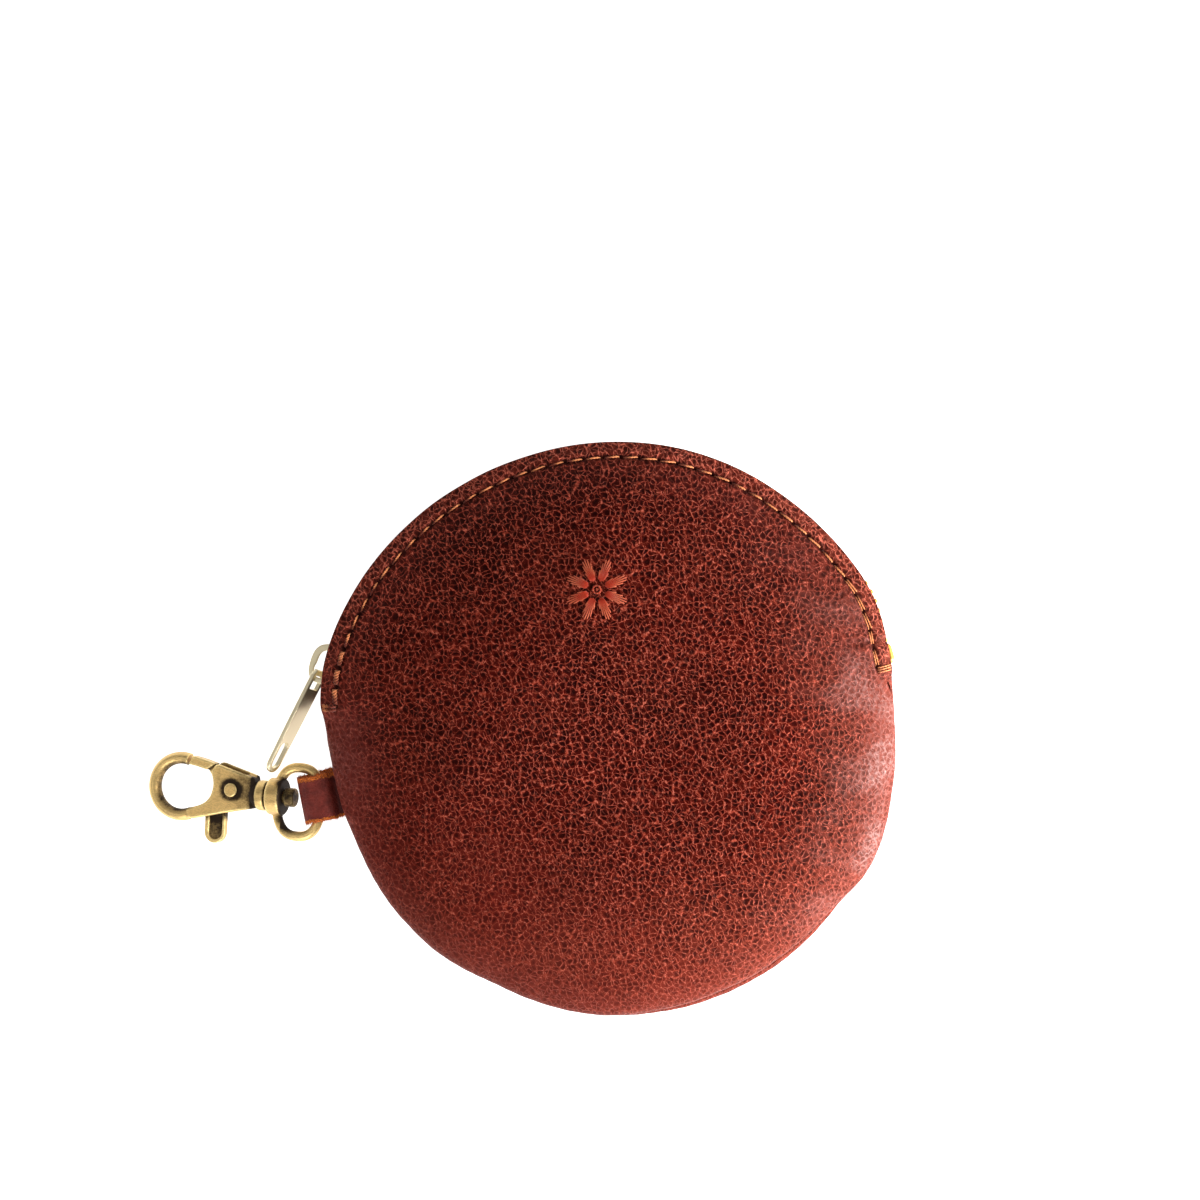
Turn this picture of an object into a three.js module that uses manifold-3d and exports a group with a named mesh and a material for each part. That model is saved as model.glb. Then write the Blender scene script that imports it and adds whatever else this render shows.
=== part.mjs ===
// A round leather zip pouch with a swivel snap clasp on a short leather loop, lying on its back.
// Millimetres, +Z up. The origin is the middle of the flat patch that the pouch rests on, +X runs to the
// pouch's right and +Y to its zipped top, as seen from above its front panel.
import * as THREE from "three";
import { mergeVertices } from "three/addons/utils/BufferGeometryUtils.js";
import Module from "manifold-3d";

const wasm = await Module();
wasm.setup();

// Clearances
const pieceGap = 0.3;
const runningGap = 0.25;
const floorGap = 0.05;

// The leather body
const pouchRadius = 57.5;
const seamHeight = 11.5;
const frontRise = 13;
const restRadius = 24;
const leatherWall = 1.4;
const seamGap = 0.3;
const seamIn = 0.016;
const seamBulge = 0.019;
const tuckFrom = 0.7;
const backRoundness = 2.3;
const seamFlatness = 0.52;
const lipFlatness = 0.95;

// The zip's opening: the angles of its two ends, the height of each lip off the seam, and how many degrees
// inside and outside each end the lips take to part
const zipRightAngle = 12.2;
const zipLeftAngle = 175.8;
const lipHeight = 5.2;
const lipPartingInside = 0.5;
const lipPartingOutside = 7.5;
const partingSpread = 42;
const partingFrom = 0.3;
const partingTo = 0.96;

// The zip's tape and teeth
const tapeThickness = 0.5;
const tapeDepth = 6.5;
const tapeRise = 0.75;
const tapeBend = 1.6;
const tapeInset = 2.6;
const toothPitch = 2;
const toothWidth = 0.75;
const toothReach = 0.55;
const chainHalfWidth = 2.2;
const chainThickness = 1.7;
const beadWidth = 1;
const chainStopsShort = 0.6;
const stopInset = 0.9;
const stopLength = 4.2;
const stopWidth = 3;
const stopThickness = 2.2;
const stopCorner = 0.45;

// The zip's slider and pull
const sliderAngle = 167.6;
const sliderLength = 8.6;
const sliderHalfWidth = 3.3;
const sliderPlate = 0.7;
const sliderFlange = 0.5;
const tapeSlot = 1.1;
const wedgeRadius = 0.9;
const wedgeStretch = 1.3;
const bridgeHeight = 3.6;
const bridgeThickness = 0.8;
const bridgeWidth = 1.6;
const pullLength = 22.1;
const pullWidth = 5.2;
const pullTipWidth = 4.6;
const pullThickness = 1.2;
const pullEyeLength = 3;
const pullEyeWidth = 2.8;
const pullSlotLength = 4.8;
const pullSlotWidth = 2.3;
const pullTipRim = 1.3;
const pullSwing = 14.4;
const pullRoll = 16;
const pullAlong = 2.0;
const pullOut = 1.6;

// The leather loop that holds the clasp. Its own middle is where the clasp's ring lies in it, a distance
// outside the pouch's outline.
const loopAngle = 193.36;
const loopOut = 3.31;
const loopYaw = 191;
const loopWidth = 9.3;
const loopLeather = 1.2;
const loopSlack = 1.7;
const loopReach = 4.5;
const loopTail = 9;
const loopOpensFrom = -2.9;
const loopOpenBy = -0.5;

// The clasp, from the far bar of its ring to the tip of its hook. Its place is measured from the loop's own
// middle, along the loop and across it.
const claspAlong = 0.51;
const claspAside = 0.53;
const claspDrop = 0.1;
const claspYaw = 177;
const ringWire = 2;
const ringLength = 9.4;
const ringWidth = 13.76;
const ringSquareness = 2.5;
const ringOffset = -0.8;
const bossRadius = 3.75;
const bossLength = 3.15;
const postRadius = 1.15;
const headRadius = 1.9;
const headLength = 2.1;
const neckRadius = 3.05;
const neckLength = 2.6;
const hookThickness = 3.3;
const bodyLength = 9;
const bowRadius = 5.77;
const bowWire = 2.45;
const bowAlong = 7.45;
const bowOffset = 0.67;
const bowOpensAt = 106.4;
const bowMeetsBody = -110;
const triggerThickness = 1.6;
const triggerWidth = 4.4;
const rivetRadius = 0.9;
const rivetHeadRadius = 1.4;
const rivetHeadHeight = 0.4;
const rivetBack = 4;
const rivetOffset = 0.72;
const rivetHole = 0.96;
const gateThickness = 2.6;
const thumbBack = 0.55;
const thumbReach = 10.3;

// The outline seen from above and how the leather rolls over its edge, by angle round the middle.
// radius is a share of pouchRadius, and so are frontIn and backIn, which say how far the widest line of each
// panel stays inside the outline. roundness is how squarely the front panel runs out to its edge.
const edgeTable = [
  { angle: 0, radius: 0.979, roundness: 3.2, frontIn: 0, backIn: 0.012 },
  { angle: 14, radius: 0.984, roundness: 2.9, frontIn: 0, backIn: 0.004 },
  { angle: 28, radius: 1.005, roundness: 2.6, frontIn: 0, backIn: 0 },
  { angle: 45, radius: 0.995, roundness: 2.5, frontIn: 0, backIn: 0 },
  { angle: 70, radius: 0.992, roundness: 2.4, frontIn: 0, backIn: 0 },
  { angle: 90, radius: 0.988, roundness: 2.4, frontIn: 0, backIn: 0 },
  { angle: 112, radius: 0.985, roundness: 2.3, frontIn: 0, backIn: 0 },
  { angle: 132, radius: 0.993, roundness: 2.3, frontIn: 0, backIn: 0 },
  { angle: 150, radius: 1.009, roundness: 2.3, frontIn: 0, backIn: 0 },
  { angle: 166, radius: 1.021, roundness: 2.3, frontIn: 0, backIn: 0 },
  { angle: 174, radius: 1.014, roundness: 2.3, frontIn: 0, backIn: 0.002 },
  { angle: 181, radius: 0.997, roundness: 2.4, frontIn: 0, backIn: 0.006 },
  { angle: 190, radius: 0.983, roundness: 2.4, frontIn: 0, backIn: 0.01 },
  { angle: 206, radius: 0.98, roundness: 2.4, frontIn: 0, backIn: 0.012 },
  { angle: 222, radius: 0.99, roundness: 2.4, frontIn: 0, backIn: 0.012 },
  { angle: 246, radius: 0.984, roundness: 2.5, frontIn: 0, backIn: 0.01 },
  { angle: 262, radius: 1.003, roundness: 2.6, frontIn: 0.006, backIn: 0.004 },
  { angle: 282, radius: 1.008, roundness: 2.7, frontIn: 0.018, backIn: 0 },
  { angle: 305, radius: 1.005, roundness: 2.8, frontIn: 0.02, backIn: 0 },
  { angle: 320, radius: 1.002, roundness: 2.9, frontIn: 0.012, backIn: 0 },
  { angle: 330, radius: 1.016, roundness: 3, frontIn: 0.004, backIn: 0.008 },
  { angle: 343, radius: 1, roundness: 3.1, frontIn: 0, backIn: 0.012 },
];

// How far the zip's chain lies inside the outline, by angle, as a share of pouchRadius. At its right-hand end
// the chain stands a little proud of the leather.
const chainTable = [
  { angle: 12, inset: -0.009 },
  { angle: 19, inset: 0.006 },
  { angle: 27, inset: 0 },
  { angle: 38, inset: 0.016 },
  { angle: 60, inset: 0.021 },
  { angle: 120, inset: 0.032 },
  { angle: 176, inset: 0.041 },
];

// Soft hollows in the front panel. across, up, reach and depth are shares of pouchRadius.
const hollowTable = [
  { across: 0.1, up: 0.06, reach: 0.34, depth: 0.012 },
  { across: 0.62, up: 0.55, reach: 0.2, depth: 0.014 },
  { across: -0.62, up: 0.36, reach: 0.26, depth: 0.012 },
  { across: -0.42, up: -0.42, reach: 0.24, depth: 0.01 },
  { across: 0.74, up: -0.12, reach: 0.16, depth: 0.01 },
];

// How finely the curved pieces are divided
const sectorSpans = [
  { from: 0, to: 20, count: 9 },
  { from: 20, to: 170, count: 23 },
  { from: 170, to: 184, count: 7 },
  { from: 184, to: 360, count: 26 },
];
const frontShares = [0.16, 0.33, 0.5, 0.65, 0.78, 0.88, 0.95, 1];
const backShares = [0, 0.18, 0.36, 0.54, 0.7, 0.84, 0.94, 1];
const panelRings = frontShares.length;
const tapeStations = 32;
const wireSides = 8;
const roundSides = 16;

const radians = THREE.MathUtils.degToRad;
const clamp = THREE.MathUtils.clamp;
const lerp = THREE.MathUtils.lerp;

// A smooth closed curve through one column of the edge table.
function fromTable(column, angle) {
  const count = edgeTable.length;
  const turned = THREE.MathUtils.euclideanModulo(angle, 360);
  let row = count - 1;
  for (let i = 0; i < count; i++) {
    if (edgeTable[i].angle <= turned) row = i;
  }
  const at = (i) => {
    const wraps = Math.floor(i / count);
    const entry = edgeTable[THREE.MathUtils.euclideanModulo(i, count)];
    return { x: entry.angle + 360 * wraps, y: entry[column] };
  };
  const [a, b, c, d] = [at(row - 1), at(row), at(row + 1), at(row + 2)];
  const span = c.x - b.x;
  const t = (turned - b.x) / span;
  const startSlope = ((c.y - a.y) / (c.x - a.x)) * span;
  const endSlope = ((d.y - b.y) / (d.x - b.x)) * span;
  return (
    b.y * (2 * t ** 3 - 3 * t ** 2 + 1) +
    startSlope * (t ** 3 - 2 * t ** 2 + t) +
    c.y * (3 * t ** 2 - 2 * t ** 3) +
    endSlope * (t ** 3 - t ** 2)
  );
}

const outlineRadius = (angle) => pouchRadius * fromTable("radius", angle);

// 1 where the lips stand fully apart for the zip, 0 where the two panels meet in the seam. At the panel's
// edge they part over a short way; further in, the change is spread out so that no ridge runs to the middle.
function zipShare(angle, share = 1) {
  const turned = THREE.MathUtils.euclideanModulo(angle, 360);
  const towardEdge = Math.sin((share * Math.PI) / 2);
  const spread = partingSpread * (1 - THREE.MathUtils.smoothstep(towardEdge, partingFrom, partingTo));
  const inside = lipPartingInside + spread;
  const outside = lipPartingOutside + spread;
  const fromRight = THREE.MathUtils.smoothstep(
    turned > 270 ? turned - 360 : turned,
    zipRightAngle - outside,
    zipRightAngle + inside,
  );
  const fromLeft = THREE.MathUtils.smoothstep(turned, zipLeftAngle - inside, zipLeftAngle + outside);
  return turned > 270 ? fromRight : fromRight * (1 - fromLeft);
}

const lipAt = (angle, share) => lerp(seamGap / 2, lipHeight, zipShare(angle, share));

// The section of a panel's outer face at one angle: share 0 is its middle and 1 its edge.
// side is 1 for the front panel and -1 for the back panel. Returns [distance from the axis, height].
function panelSection(side, angle, share) {
  const zip = zipShare(angle, share);
  const outline = outlineRadius(angle);
  const shyness = fromTable(side > 0 ? "frontIn" : "backIn", angle);
  const sewn = 1 - zipShare(angle);
  const widest = outline * (1 + (seamBulge - Math.max(shyness, 0)) * sewn);
  const edge = widest * (1 - (seamIn + seamBulge) * sewn);
  const turn = (share * Math.PI) / 2;
  const roundness = side > 0 ? fromTable("roundness", angle) : backRoundness;
  const flatness = lerp(seamFlatness, lipFlatness, zip);
  const run = Math.sin(turn) ** (2 / roundness);
  const fall = Math.max(Math.cos(turn), 0) ** (2 * flatness);
  const tuck = clamp((share - tuckFrom) / (1 - tuckFrom), 0, 1) ** 3;
  const lip = lipAt(angle, share);
  const inner = side > 0 ? 0 : restRadius;
  const radius = inner + (widest - inner) * run - (widest - edge) * tuck;
  const height =
    side > 0
      ? seamHeight + lip + (frontRise - lip) * fall
      : (seamHeight - lip) * (1 - fall);
  return [radius, height];
}

// The same section with the wall's thickness taken off it, for the inner face.
function innerSection(side, angle, share, depth = leatherWall) {
  const step = 0.01;
  const from = panelSection(side, angle, Math.max(share - step, 0));
  const to = panelSection(side, angle, Math.min(share + step, 1));
  const run = to[0] - from[0];
  const rise = to[1] - from[1];
  const length = Math.hypot(run, rise);
  const [radius, height] = panelSection(side, angle, share);
  return [
    Math.max(radius + (side * depth * rise) / length, 0),
    height - (side * depth * run) / length,
  ];
}

// The angles of the panels' points, closer together where the lips part.
const panelAngles = sectorSpans.flatMap(({ from, to, count }) =>
  Array.from({ length: count }, (_, i) => from + ((to - from) * i) / count),
);
const panelSectors = panelAngles.length;

function hollowDepth(x, y) {
  let depth = 0;
  for (const { across, up, reach, depth: share } of hollowTable) {
    const dx = x - across * pouchRadius;
    const dy = y - up * pouchRadius;
    const spread = reach * pouchRadius;
    depth += share * pouchRadius * Math.exp(-(dx * dx + dy * dy) / spread ** 2);
  }
  return depth;
}

// A point at an angle, a distance from the axis and a height.
function polar(angle, [radius, height]) {
  return new THREE.Vector3(radius * Math.cos(radians(angle)), radius * Math.sin(radians(angle)), height);
}

// The same for the front panel and what lies under it, with the hollows taken off.
function sunkPolar(angle, [radius, height], side) {
  const point = polar(angle, [radius, height]);
  if (side > 0) point.z -= hollowDepth(point.x, point.y) * clamp(1 - (radius / pouchRadius) ** 8, 0, 1);
  return point;
}

// A closed solid from its points and triangles. Two triangles that share an edge run along it opposite ways.
function closedSolid(points, faces) {
  const geometry = new THREE.BufferGeometry().setFromPoints(points);
  geometry.setIndex(faces.flat());
  return solidOf(geometry);
}

// A manifold solid of a three.js geometry, and the way back.
function solidOf(geometry) {
  const bare = geometry.index ? geometry.toNonIndexed() : geometry.clone();
  const position = new THREE.BufferGeometry();
  position.setAttribute("position", bare.getAttribute("position"));
  const merged = mergeVertices(position, 1e-4);
  const solid = new wasm.Manifold(
    new wasm.Mesh({
      numProp: 3,
      vertProperties: merged.attributes.position.array,
      triVerts: new Uint32Array(merged.index.array),
    }),
  );
  if (solid.volume() > 0) return solid;
  const turned = merged.index.array.slice();
  for (let i = 0; i < turned.length; i += 3) {
    [turned[i + 1], turned[i + 2]] = [turned[i + 2], turned[i + 1]];
  }
  return new wasm.Manifold(
    new wasm.Mesh({
      numProp: 3,
      vertProperties: merged.attributes.position.array,
      triVerts: new Uint32Array(turned),
    }),
  );
}

function geometryOf(solid) {
  const mesh = solid.getMesh();
  const geometry = new THREE.BufferGeometry();
  geometry.setAttribute("position", new THREE.BufferAttribute(mesh.vertProperties, 3));
  geometry.setIndex(new THREE.BufferAttribute(mesh.triVerts, 1));
  const faceted = geometry.toNonIndexed();
  faceted.computeVertexNormals();
  return faceted;
}

function piece(name, solid, material) {
  const mesh = new THREE.Mesh(geometryOf(solid), material);
  mesh.name = name;
  return mesh;
}

// A box between two corners.
function boxSolid(low, high) {
  const size = high.map((value, i) => value - low[i]);
  const geometry = new THREE.BoxGeometry(...size);
  geometry.translate(...low.map((value, i) => value + size[i] / 2));
  return solidOf(geometry);
}

// A round solid along X, from a profile of [along, radius] pairs that starts and ends on the axis.
function turnedSolid(profile, sides = roundSides) {
  const points = profile.map(([along, radius]) => new THREE.Vector2(radius, along));
  const geometry = new THREE.LatheGeometry(points, sides);
  geometry.rotateZ(-Math.PI / 2);
  return solidOf(geometry);
}

// A flat outline given a thickness, centred on its own plane.
function plateSolid(outline, thickness, bevel = 0) {
  const geometry = new THREE.ExtrudeGeometry(new THREE.Shape(outline), {
    depth: thickness - 2 * bevel,
    bevelEnabled: bevel > 0,
    bevelSegments: 1,
    bevelSize: bevel,
    bevelOffset: -bevel,
    bevelThickness: bevel,
    steps: 1,
  });
  geometry.translate(0, 0, -(thickness - 2 * bevel) / 2);
  return solidOf(geometry);
}

// Points on an arc, both ends included. Angles in degrees.
function arcPoints(centre, radius, from, to, steps) {
  const points = [];
  for (let i = 0; i <= steps; i++) {
    const angle = radians(lerp(from, to, i / steps));
    points.push(
      new THREE.Vector2(centre.x + radius * Math.cos(angle), centre.y + radius * Math.sin(angle)),
    );
  }
  return points;
}

// A strip swept round the pouch from one closed section per station. Every section has as many points.
function sweptStrip(sections) {
  const sides = sections[0].length;
  const points = sections.flat();
  const faces = [];
  for (let i = 0; i + 1 < sections.length; i++) {
    for (let j = 0; j < sides; j++) {
      const a = i * sides + j;
      const b = i * sides + ((j + 1) % sides);
      faces.push([a, b, b + sides], [a, b + sides, a + sides]);
    }
  }
  const last = (sections.length - 1) * sides;
  for (let j = 1; j + 1 < sides; j++) {
    faces.push([0, j + 1, j], [last, last + j, last + j + 1]);
  }
  return closedSolid(points, faces);
}

// The leather panels

function panelSolid(side) {
  const points = [];
  const faces = [];
  const ringStart = (face, ring) => face * (1 + panelRings * panelSectors) + 1 + (ring - 1) * panelSectors;
  const poleOf = (face) => face * (1 + panelRings * panelSectors);
  for (const face of [0, 1]) {
    const section = face ? innerSection : panelSection;
    const [, poleHeight] = section(side, 90, 0);
    points.push(sunkPolar(90, [0, poleHeight], side));
    for (let ring = 1; ring <= panelRings; ring++) {
      const share = (side > 0 ? frontShares : backShares)[ring - 1];
      for (const angle of panelAngles) {
        points.push(sunkPolar(angle, section(side, angle, share), side));
      }
    }
  }
  const turnsOver = (face) => (face === 0) === side > 0;
  const add = (flip, ...corners) => faces.push(flip ? corners : [...corners].reverse());
  for (const face of [0, 1]) {
    for (let sector = 0; sector < panelSectors; sector++) {
      const next = (sector + 1) % panelSectors;
      add(turnsOver(face), poleOf(face), ringStart(face, 1) + sector, ringStart(face, 1) + next);
      for (let ring = 1; ring < panelRings; ring++) {
        const a = ringStart(face, ring) + sector;
        const b = ringStart(face, ring) + next;
        const c = ringStart(face, ring + 1) + next;
        const d = ringStart(face, ring + 1) + sector;
        add(turnsOver(face), a, d, c);
        add(turnsOver(face), a, c, b);
      }
    }
  }
  for (let sector = 0; sector < panelSectors; sector++) {
    const next = (sector + 1) % panelSectors;
    const a = ringStart(0, panelRings) + sector;
    const b = ringStart(0, panelRings) + next;
    const c = ringStart(1, panelRings) + next;
    const d = ringStart(1, panelRings) + sector;
    add(side > 0, a, d, c);
    add(side > 0, a, c, b);
  }
  return closedSolid(points, faces);
}

// The zip. Its chain follows the outline, set in from it, and is laid out by length along that line.

function chainInset(angle) {
  const last = chainTable.length - 1;
  const next = clamp(chainTable.findIndex((row) => row.angle > angle), 1, last);
  const [from, to] = [chainTable[next - 1], angle < chainTable[last].angle ? chainTable[next] : chainTable[last]];
  const share = THREE.MathUtils.smoothstep(angle, from.angle, to.angle);
  return pouchRadius * lerp(from.inset, to.inset, share);
}

const chainRadius = (angle) => outlineRadius(angle) - chainInset(angle);

// Angles of evenly spaced stations along the chain's line, from one angle to another.
function stationsAlong(from, to, spacing) {
  const stations = [from];
  const step = 0.05;
  let travelled = 0;
  let last = polar(from, [chainRadius(from), 0]);
  for (let angle = from + step; angle <= to; angle += step) {
    const here = polar(angle, [chainRadius(angle), 0]);
    travelled += here.distanceTo(last);
    last = here;
    if (travelled >= spacing) {
      stations.push(angle);
      travelled -= spacing;
    }
  }
  return stations;
}

const degreesPerMillimetre = 180 / (Math.PI * pouchRadius);
const chainEnd = sliderAngle - chainStopsShort * degreesPerMillimetre;
const stopStart = zipRightAngle + stopInset * degreesPerMillimetre;
const chainStart = stopStart + (stopLength + pieceGap) * degreesPerMillimetre;
const tapeStart = zipRightAngle + tapeInset * degreesPerMillimetre;
const tapeEnd = zipLeftAngle - tapeInset * degreesPerMillimetre;

// One row of teeth on its bead: a comb bent round the chain's line. side is 1 for the front row.
function teethSolid(side) {
  const offset = side > 0 ? 0 : toothPitch / 2;
  const starts = stationsAlong(chainStart + offset * degreesPerMillimetre, chainEnd, toothPitch);
  const levels = [chainHalfWidth, chainHalfWidth - beadWidth, -toothReach];
  const points = [];
  const faces = [];
  const addColumn = (angle) => {
    for (const level of levels) {
      for (const depth of [chainThickness / 2, -chainThickness / 2]) {
        points.push(polar(angle, [chainRadius(angle) + depth, seamHeight + side * level]));
      }
    }
  };
  for (const start of starts) {
    addColumn(start);
    addColumn(start + toothWidth * degreesPerMillimetre);
  }
  const at = (column, level, back) => column * 6 + level * 2 + back;
  const quad = (a, b, c, d) => faces.push([a, b, c], [a, c, d]);
  const columns = starts.length * 2;
  for (let here = 0; here < columns - 1; here++) {
    const next = here + 1;
    const foot = here % 2 === 0 ? 2 : 1;
    quad(at(here, 0, 0), at(next, 0, 0), at(next, 0, 1), at(here, 0, 1));
    quad(at(here, foot, 0), at(here, foot, 1), at(next, foot, 1), at(next, foot, 0));
    for (let level = 0; level < foot; level++) {
      quad(at(here, level, 0), at(here, level + 1, 0), at(next, level + 1, 0), at(next, level, 0));
      quad(at(here, level, 1), at(next, level, 1), at(next, level + 1, 1), at(here, level + 1, 1));
    }
  }
  for (let column = 0; column < columns; column++) {
    const opens = column % 2 === 0;
    const isEnd = column === 0 || column === columns - 1;
    for (let level = isEnd ? 0 : 1; level < 2; level++) {
      const near = [at(column, level, 0), at(column, level, 1)];
      const far = [at(column, level + 1, 1), at(column, level + 1, 0)];
      const ring = [...near, ...far];
      quad(...(opens ? ring : ring.reverse()));
    }
  }
  return closedSolid(points, faces);
}

// The share at which a section, sunk by a depth, comes in to a given distance from the axis.
function shareAtRadius(side, angle, radius, depth) {
  let low = 0.3;
  let high = 1;
  for (let i = 0; i < 24; i++) {
    const middle = (low + high) / 2;
    if (innerSection(side, angle, middle, depth)[0] < radius) low = middle;
    else high = middle;
  }
  return (low + high) / 2;
}

// The woven tape between one row of teeth and the inside of its lip, bent round the chain's line.
function tapeSolid(side) {
  const depth = leatherWall + pieceGap + tapeThickness / 2;
  const sections = [];
  for (let i = 0; i <= tapeStations; i++) {
    const angle = lerp(tapeStart, tapeEnd, i / tapeStations);
    const chain = chainRadius(angle);
    const bend = Math.min(chain - tapeBend, outlineRadius(angle) - depth - pieceGap);
    const underLip = (radius) => {
      const share = shareAtRadius(side, angle, radius, depth);
      return new THREE.Vector2(radius, innerSection(side, angle, share, depth)[1]);
    };
    const bottom = chainHalfWidth + pieceGap;
    const line = [
      new THREE.Vector2(chain, seamHeight + side * bottom),
      new THREE.Vector2(chain - tapeThickness / 5, seamHeight + side * (bottom + tapeRise)),
      underLip(bend),
      underLip(chain - tapeDepth),
    ];
    const left = [];
    const right = [];
    line.forEach((point, j) => {
      const before = line[Math.max(j - 1, 0)];
      const after = line[Math.min(j + 1, line.length - 1)];
      const across = after.clone().sub(before).rotateAround(new THREE.Vector2(), Math.PI / 2);
      across.setLength(tapeThickness / 2);
      left.push(point.clone().add(across));
      right.push(point.clone().sub(across));
    });
    sections.push([...left, ...right.reverse()].map((point) => sunkPolar(angle, [point.x, point.y], side)));
  }
  return sweptStrip(sections);
}

// A frame that stands on the chain at an angle: X along the chain, Y out from the pouch, Z across the zip.
function chainFrame(angle) {
  const middle = polar(angle, [chainRadius(angle), seamHeight]);
  const frame = new THREE.Group();
  frame.position.copy(middle);
  frame.rotation.z = radians(angle - 90);
  return frame;
}

// The metal stop at the right-hand end of the teeth: a small block with its corners taken off.
function stopSolid() {
  const long = stopLength / 2;
  const thick = stopThickness / 2;
  const corners = [
    [1, 1],
    [-1, 1],
    [-1, -1],
    [1, -1],
  ];
  const outline = corners.flatMap(([x, y]) => {
    const onSide = new THREE.Vector2(x * long, y * (thick - stopCorner));
    const onFace = new THREE.Vector2(x * (long - stopCorner), y * thick);
    return x * y > 0 ? [onSide, onFace] : [onFace, onSide];
  });
  return plateSolid(outline, stopWidth);
}

// One side of the slider's plate, along as a share of half its length and across of its half width.
const sliderTable = [
  { along: 1, across: 0.72 },
  { along: 0.8, across: 0.86 },
  { along: -0.35, across: 1 },
  { along: -0.8, across: 0.8 },
  { along: -1, across: 0.35 },
];

// The slider: two plates with flanged sides joined by a wedge, and the arch that carries the pull.
function sliderSolid() {
  const inner = chainThickness / 2 + runningGap;
  const half = sliderLength / 2;
  const flangeOut = sliderHalfWidth * sliderTable[1].across;
  const flangeIn = flangeOut - sliderFlange;
  const oneSide = sliderTable.map((row) => new THREE.Vector2(row.along * half, row.across * sliderHalfWidth));
  const otherSide = oneSide.map((point) => new THREE.Vector2(point.x, -point.y)).reverse();
  const shape = new THREE.Shape([...oneSide, ...otherSide]);
  const solids = [];
  for (const side of [1, -1]) {
    const plate = new THREE.ExtrudeGeometry(shape, { depth: sliderPlate, bevelEnabled: false });
    plate.translate(0, 0, side > 0 ? inner : -inner - sliderPlate);
    plate.rotateX(-Math.PI / 2);
    solids.push(solidOf(plate));
    for (const edge of [1, -1]) {
      const rear = sliderTable[2].along * half;
      const front = sliderTable[1].along * half;
      const low = [rear, side > 0 ? tapeSlot / 2 : -inner, edge > 0 ? flangeIn : -flangeOut];
      const high = [front, side > 0 ? inner : -tapeSlot / 2, edge > 0 ? flangeOut : -flangeIn];
      solids.push(boxSolid(low, high));
    }
  }
  const wedge = new THREE.CylinderGeometry(wedgeRadius, wedgeRadius, inner * 2, 10);
  wedge.scale(wedgeStretch, 1, 1);
  wedge.translate(-half + wedgeRadius * wedgeStretch + pieceGap, 0, 0);
  solids.push(solidOf(wedge));
  solids.push(bridgeSolid().translate([0, inner + sliderPlate, 0]));
  return wasm.Manifold.union(solids);
}

// The arch's outside. along is a share of half the slider's length, out a share of bridgeHeight.
const bridgeTable = [
  { along: 0.98, out: -0.1 },
  { along: 0.97, out: 0.3 },
  { along: 0.84, out: 0.66 },
  { along: 0.56, out: 0.88 },
  { along: 0.15, out: 0.98 },
  { along: -0.35, out: 1 },
  { along: -0.68, out: 0.9 },
  { along: -0.88, out: 0.64 },
  { along: -0.94, out: 0.3 },
  { along: -0.94, out: -0.1 },
];

function bridgeSolid() {
  const outer = bridgeTable.map(
    ({ along, out }) => new THREE.Vector2((along * sliderLength) / 2, out * bridgeHeight),
  );
  const inner = outer.map((point, i) => {
    const before = outer[Math.max(i - 1, 0)];
    const after = outer[Math.min(i + 1, outer.length - 1)];
    const inward = after.clone().sub(before).rotateAround(new THREE.Vector2(), Math.PI / 2);
    return point.clone().add(inward.setLength(bridgeThickness));
  });
  return plateSolid([...outer, ...inner.reverse()], bridgeWidth, 0.2);
}

// The pull, flat in its own XY plane, hanging along +X from the bar at its origin.
function pullSolid() {
  const bar = pullThickness / 2;
  const half = pullWidth / 2;
  const tip = pullTipWidth / 2;
  const outline = [
    new THREE.Vector2(-bar, half * 0.72),
    new THREE.Vector2(bar, half),
    new THREE.Vector2(pullLength * 0.5, half),
    ...arcPoints(new THREE.Vector2(pullLength - tip, 0), tip, 90, -90, 10),
    new THREE.Vector2(pullLength * 0.5, -half),
    new THREE.Vector2(bar, -half),
    new THREE.Vector2(-bar, -half * 0.72),
  ];
  const eye = boxSolid(
    [bar, -pullEyeWidth / 2, -pullThickness],
    [bar + pullEyeLength, pullEyeWidth / 2, pullThickness],
  );
  const slotStart = pullLength - pullTipRim - pullSlotLength;
  const slotRadius = pullSlotWidth / 2;
  const slot = plateSolid(
    [
      ...arcPoints(new THREE.Vector2(slotStart + slotRadius, 0), slotRadius, 90, 270, 8),
      ...arcPoints(new THREE.Vector2(pullLength - pullTipRim - slotRadius, 0), slotRadius, -90, 90, 8),
    ],
    pullThickness * 2,
  );
  return plateSolid(outline, pullThickness, 0.2).subtract(eye).subtract(slot);
}

// The leather loop, in a frame whose X points away from the pouch, cut from its own side outline.
function loopSolid() {
  const foldRadius = loopSlack + loopLeather;
  const opening = (x) => loopSlack * THREE.MathUtils.smoothstep(x, loopOpensFrom, loopOpenBy);
  const fold = new THREE.Vector2(loopReach - foldRadius, 0);
  const run = [0, 0.2, 0.35, 0.5, 0.65, 0.8].map((share) => lerp(loopOpensFrom, loopOpenBy, share));
  const upper = run.map((x) => new THREE.Vector2(x, opening(x) + loopLeather));
  const lower = run.map((x) => new THREE.Vector2(x, -opening(x) - loopLeather)).reverse();
  const outline = [
    new THREE.Vector2(-loopTail, loopLeather),
    ...upper,
    ...arcPoints(fold, foldRadius, 90, -90, 12),
    ...lower,
    new THREE.Vector2(-loopTail, -loopLeather),
  ];
  const open = run.slice(1);
  const hole = [
    ...open.map((x) => new THREE.Vector2(x, opening(x))),
    ...arcPoints(fold, loopSlack, 90, -90, 12),
    ...open.map((x) => new THREE.Vector2(x, -opening(x))).reverse(),
  ];
  const side = plateSolid(outline, loopWidth).subtract(plateSolid(hole, loopWidth * 2));
  return side.rotate([90, 0, 0]);
}

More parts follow.
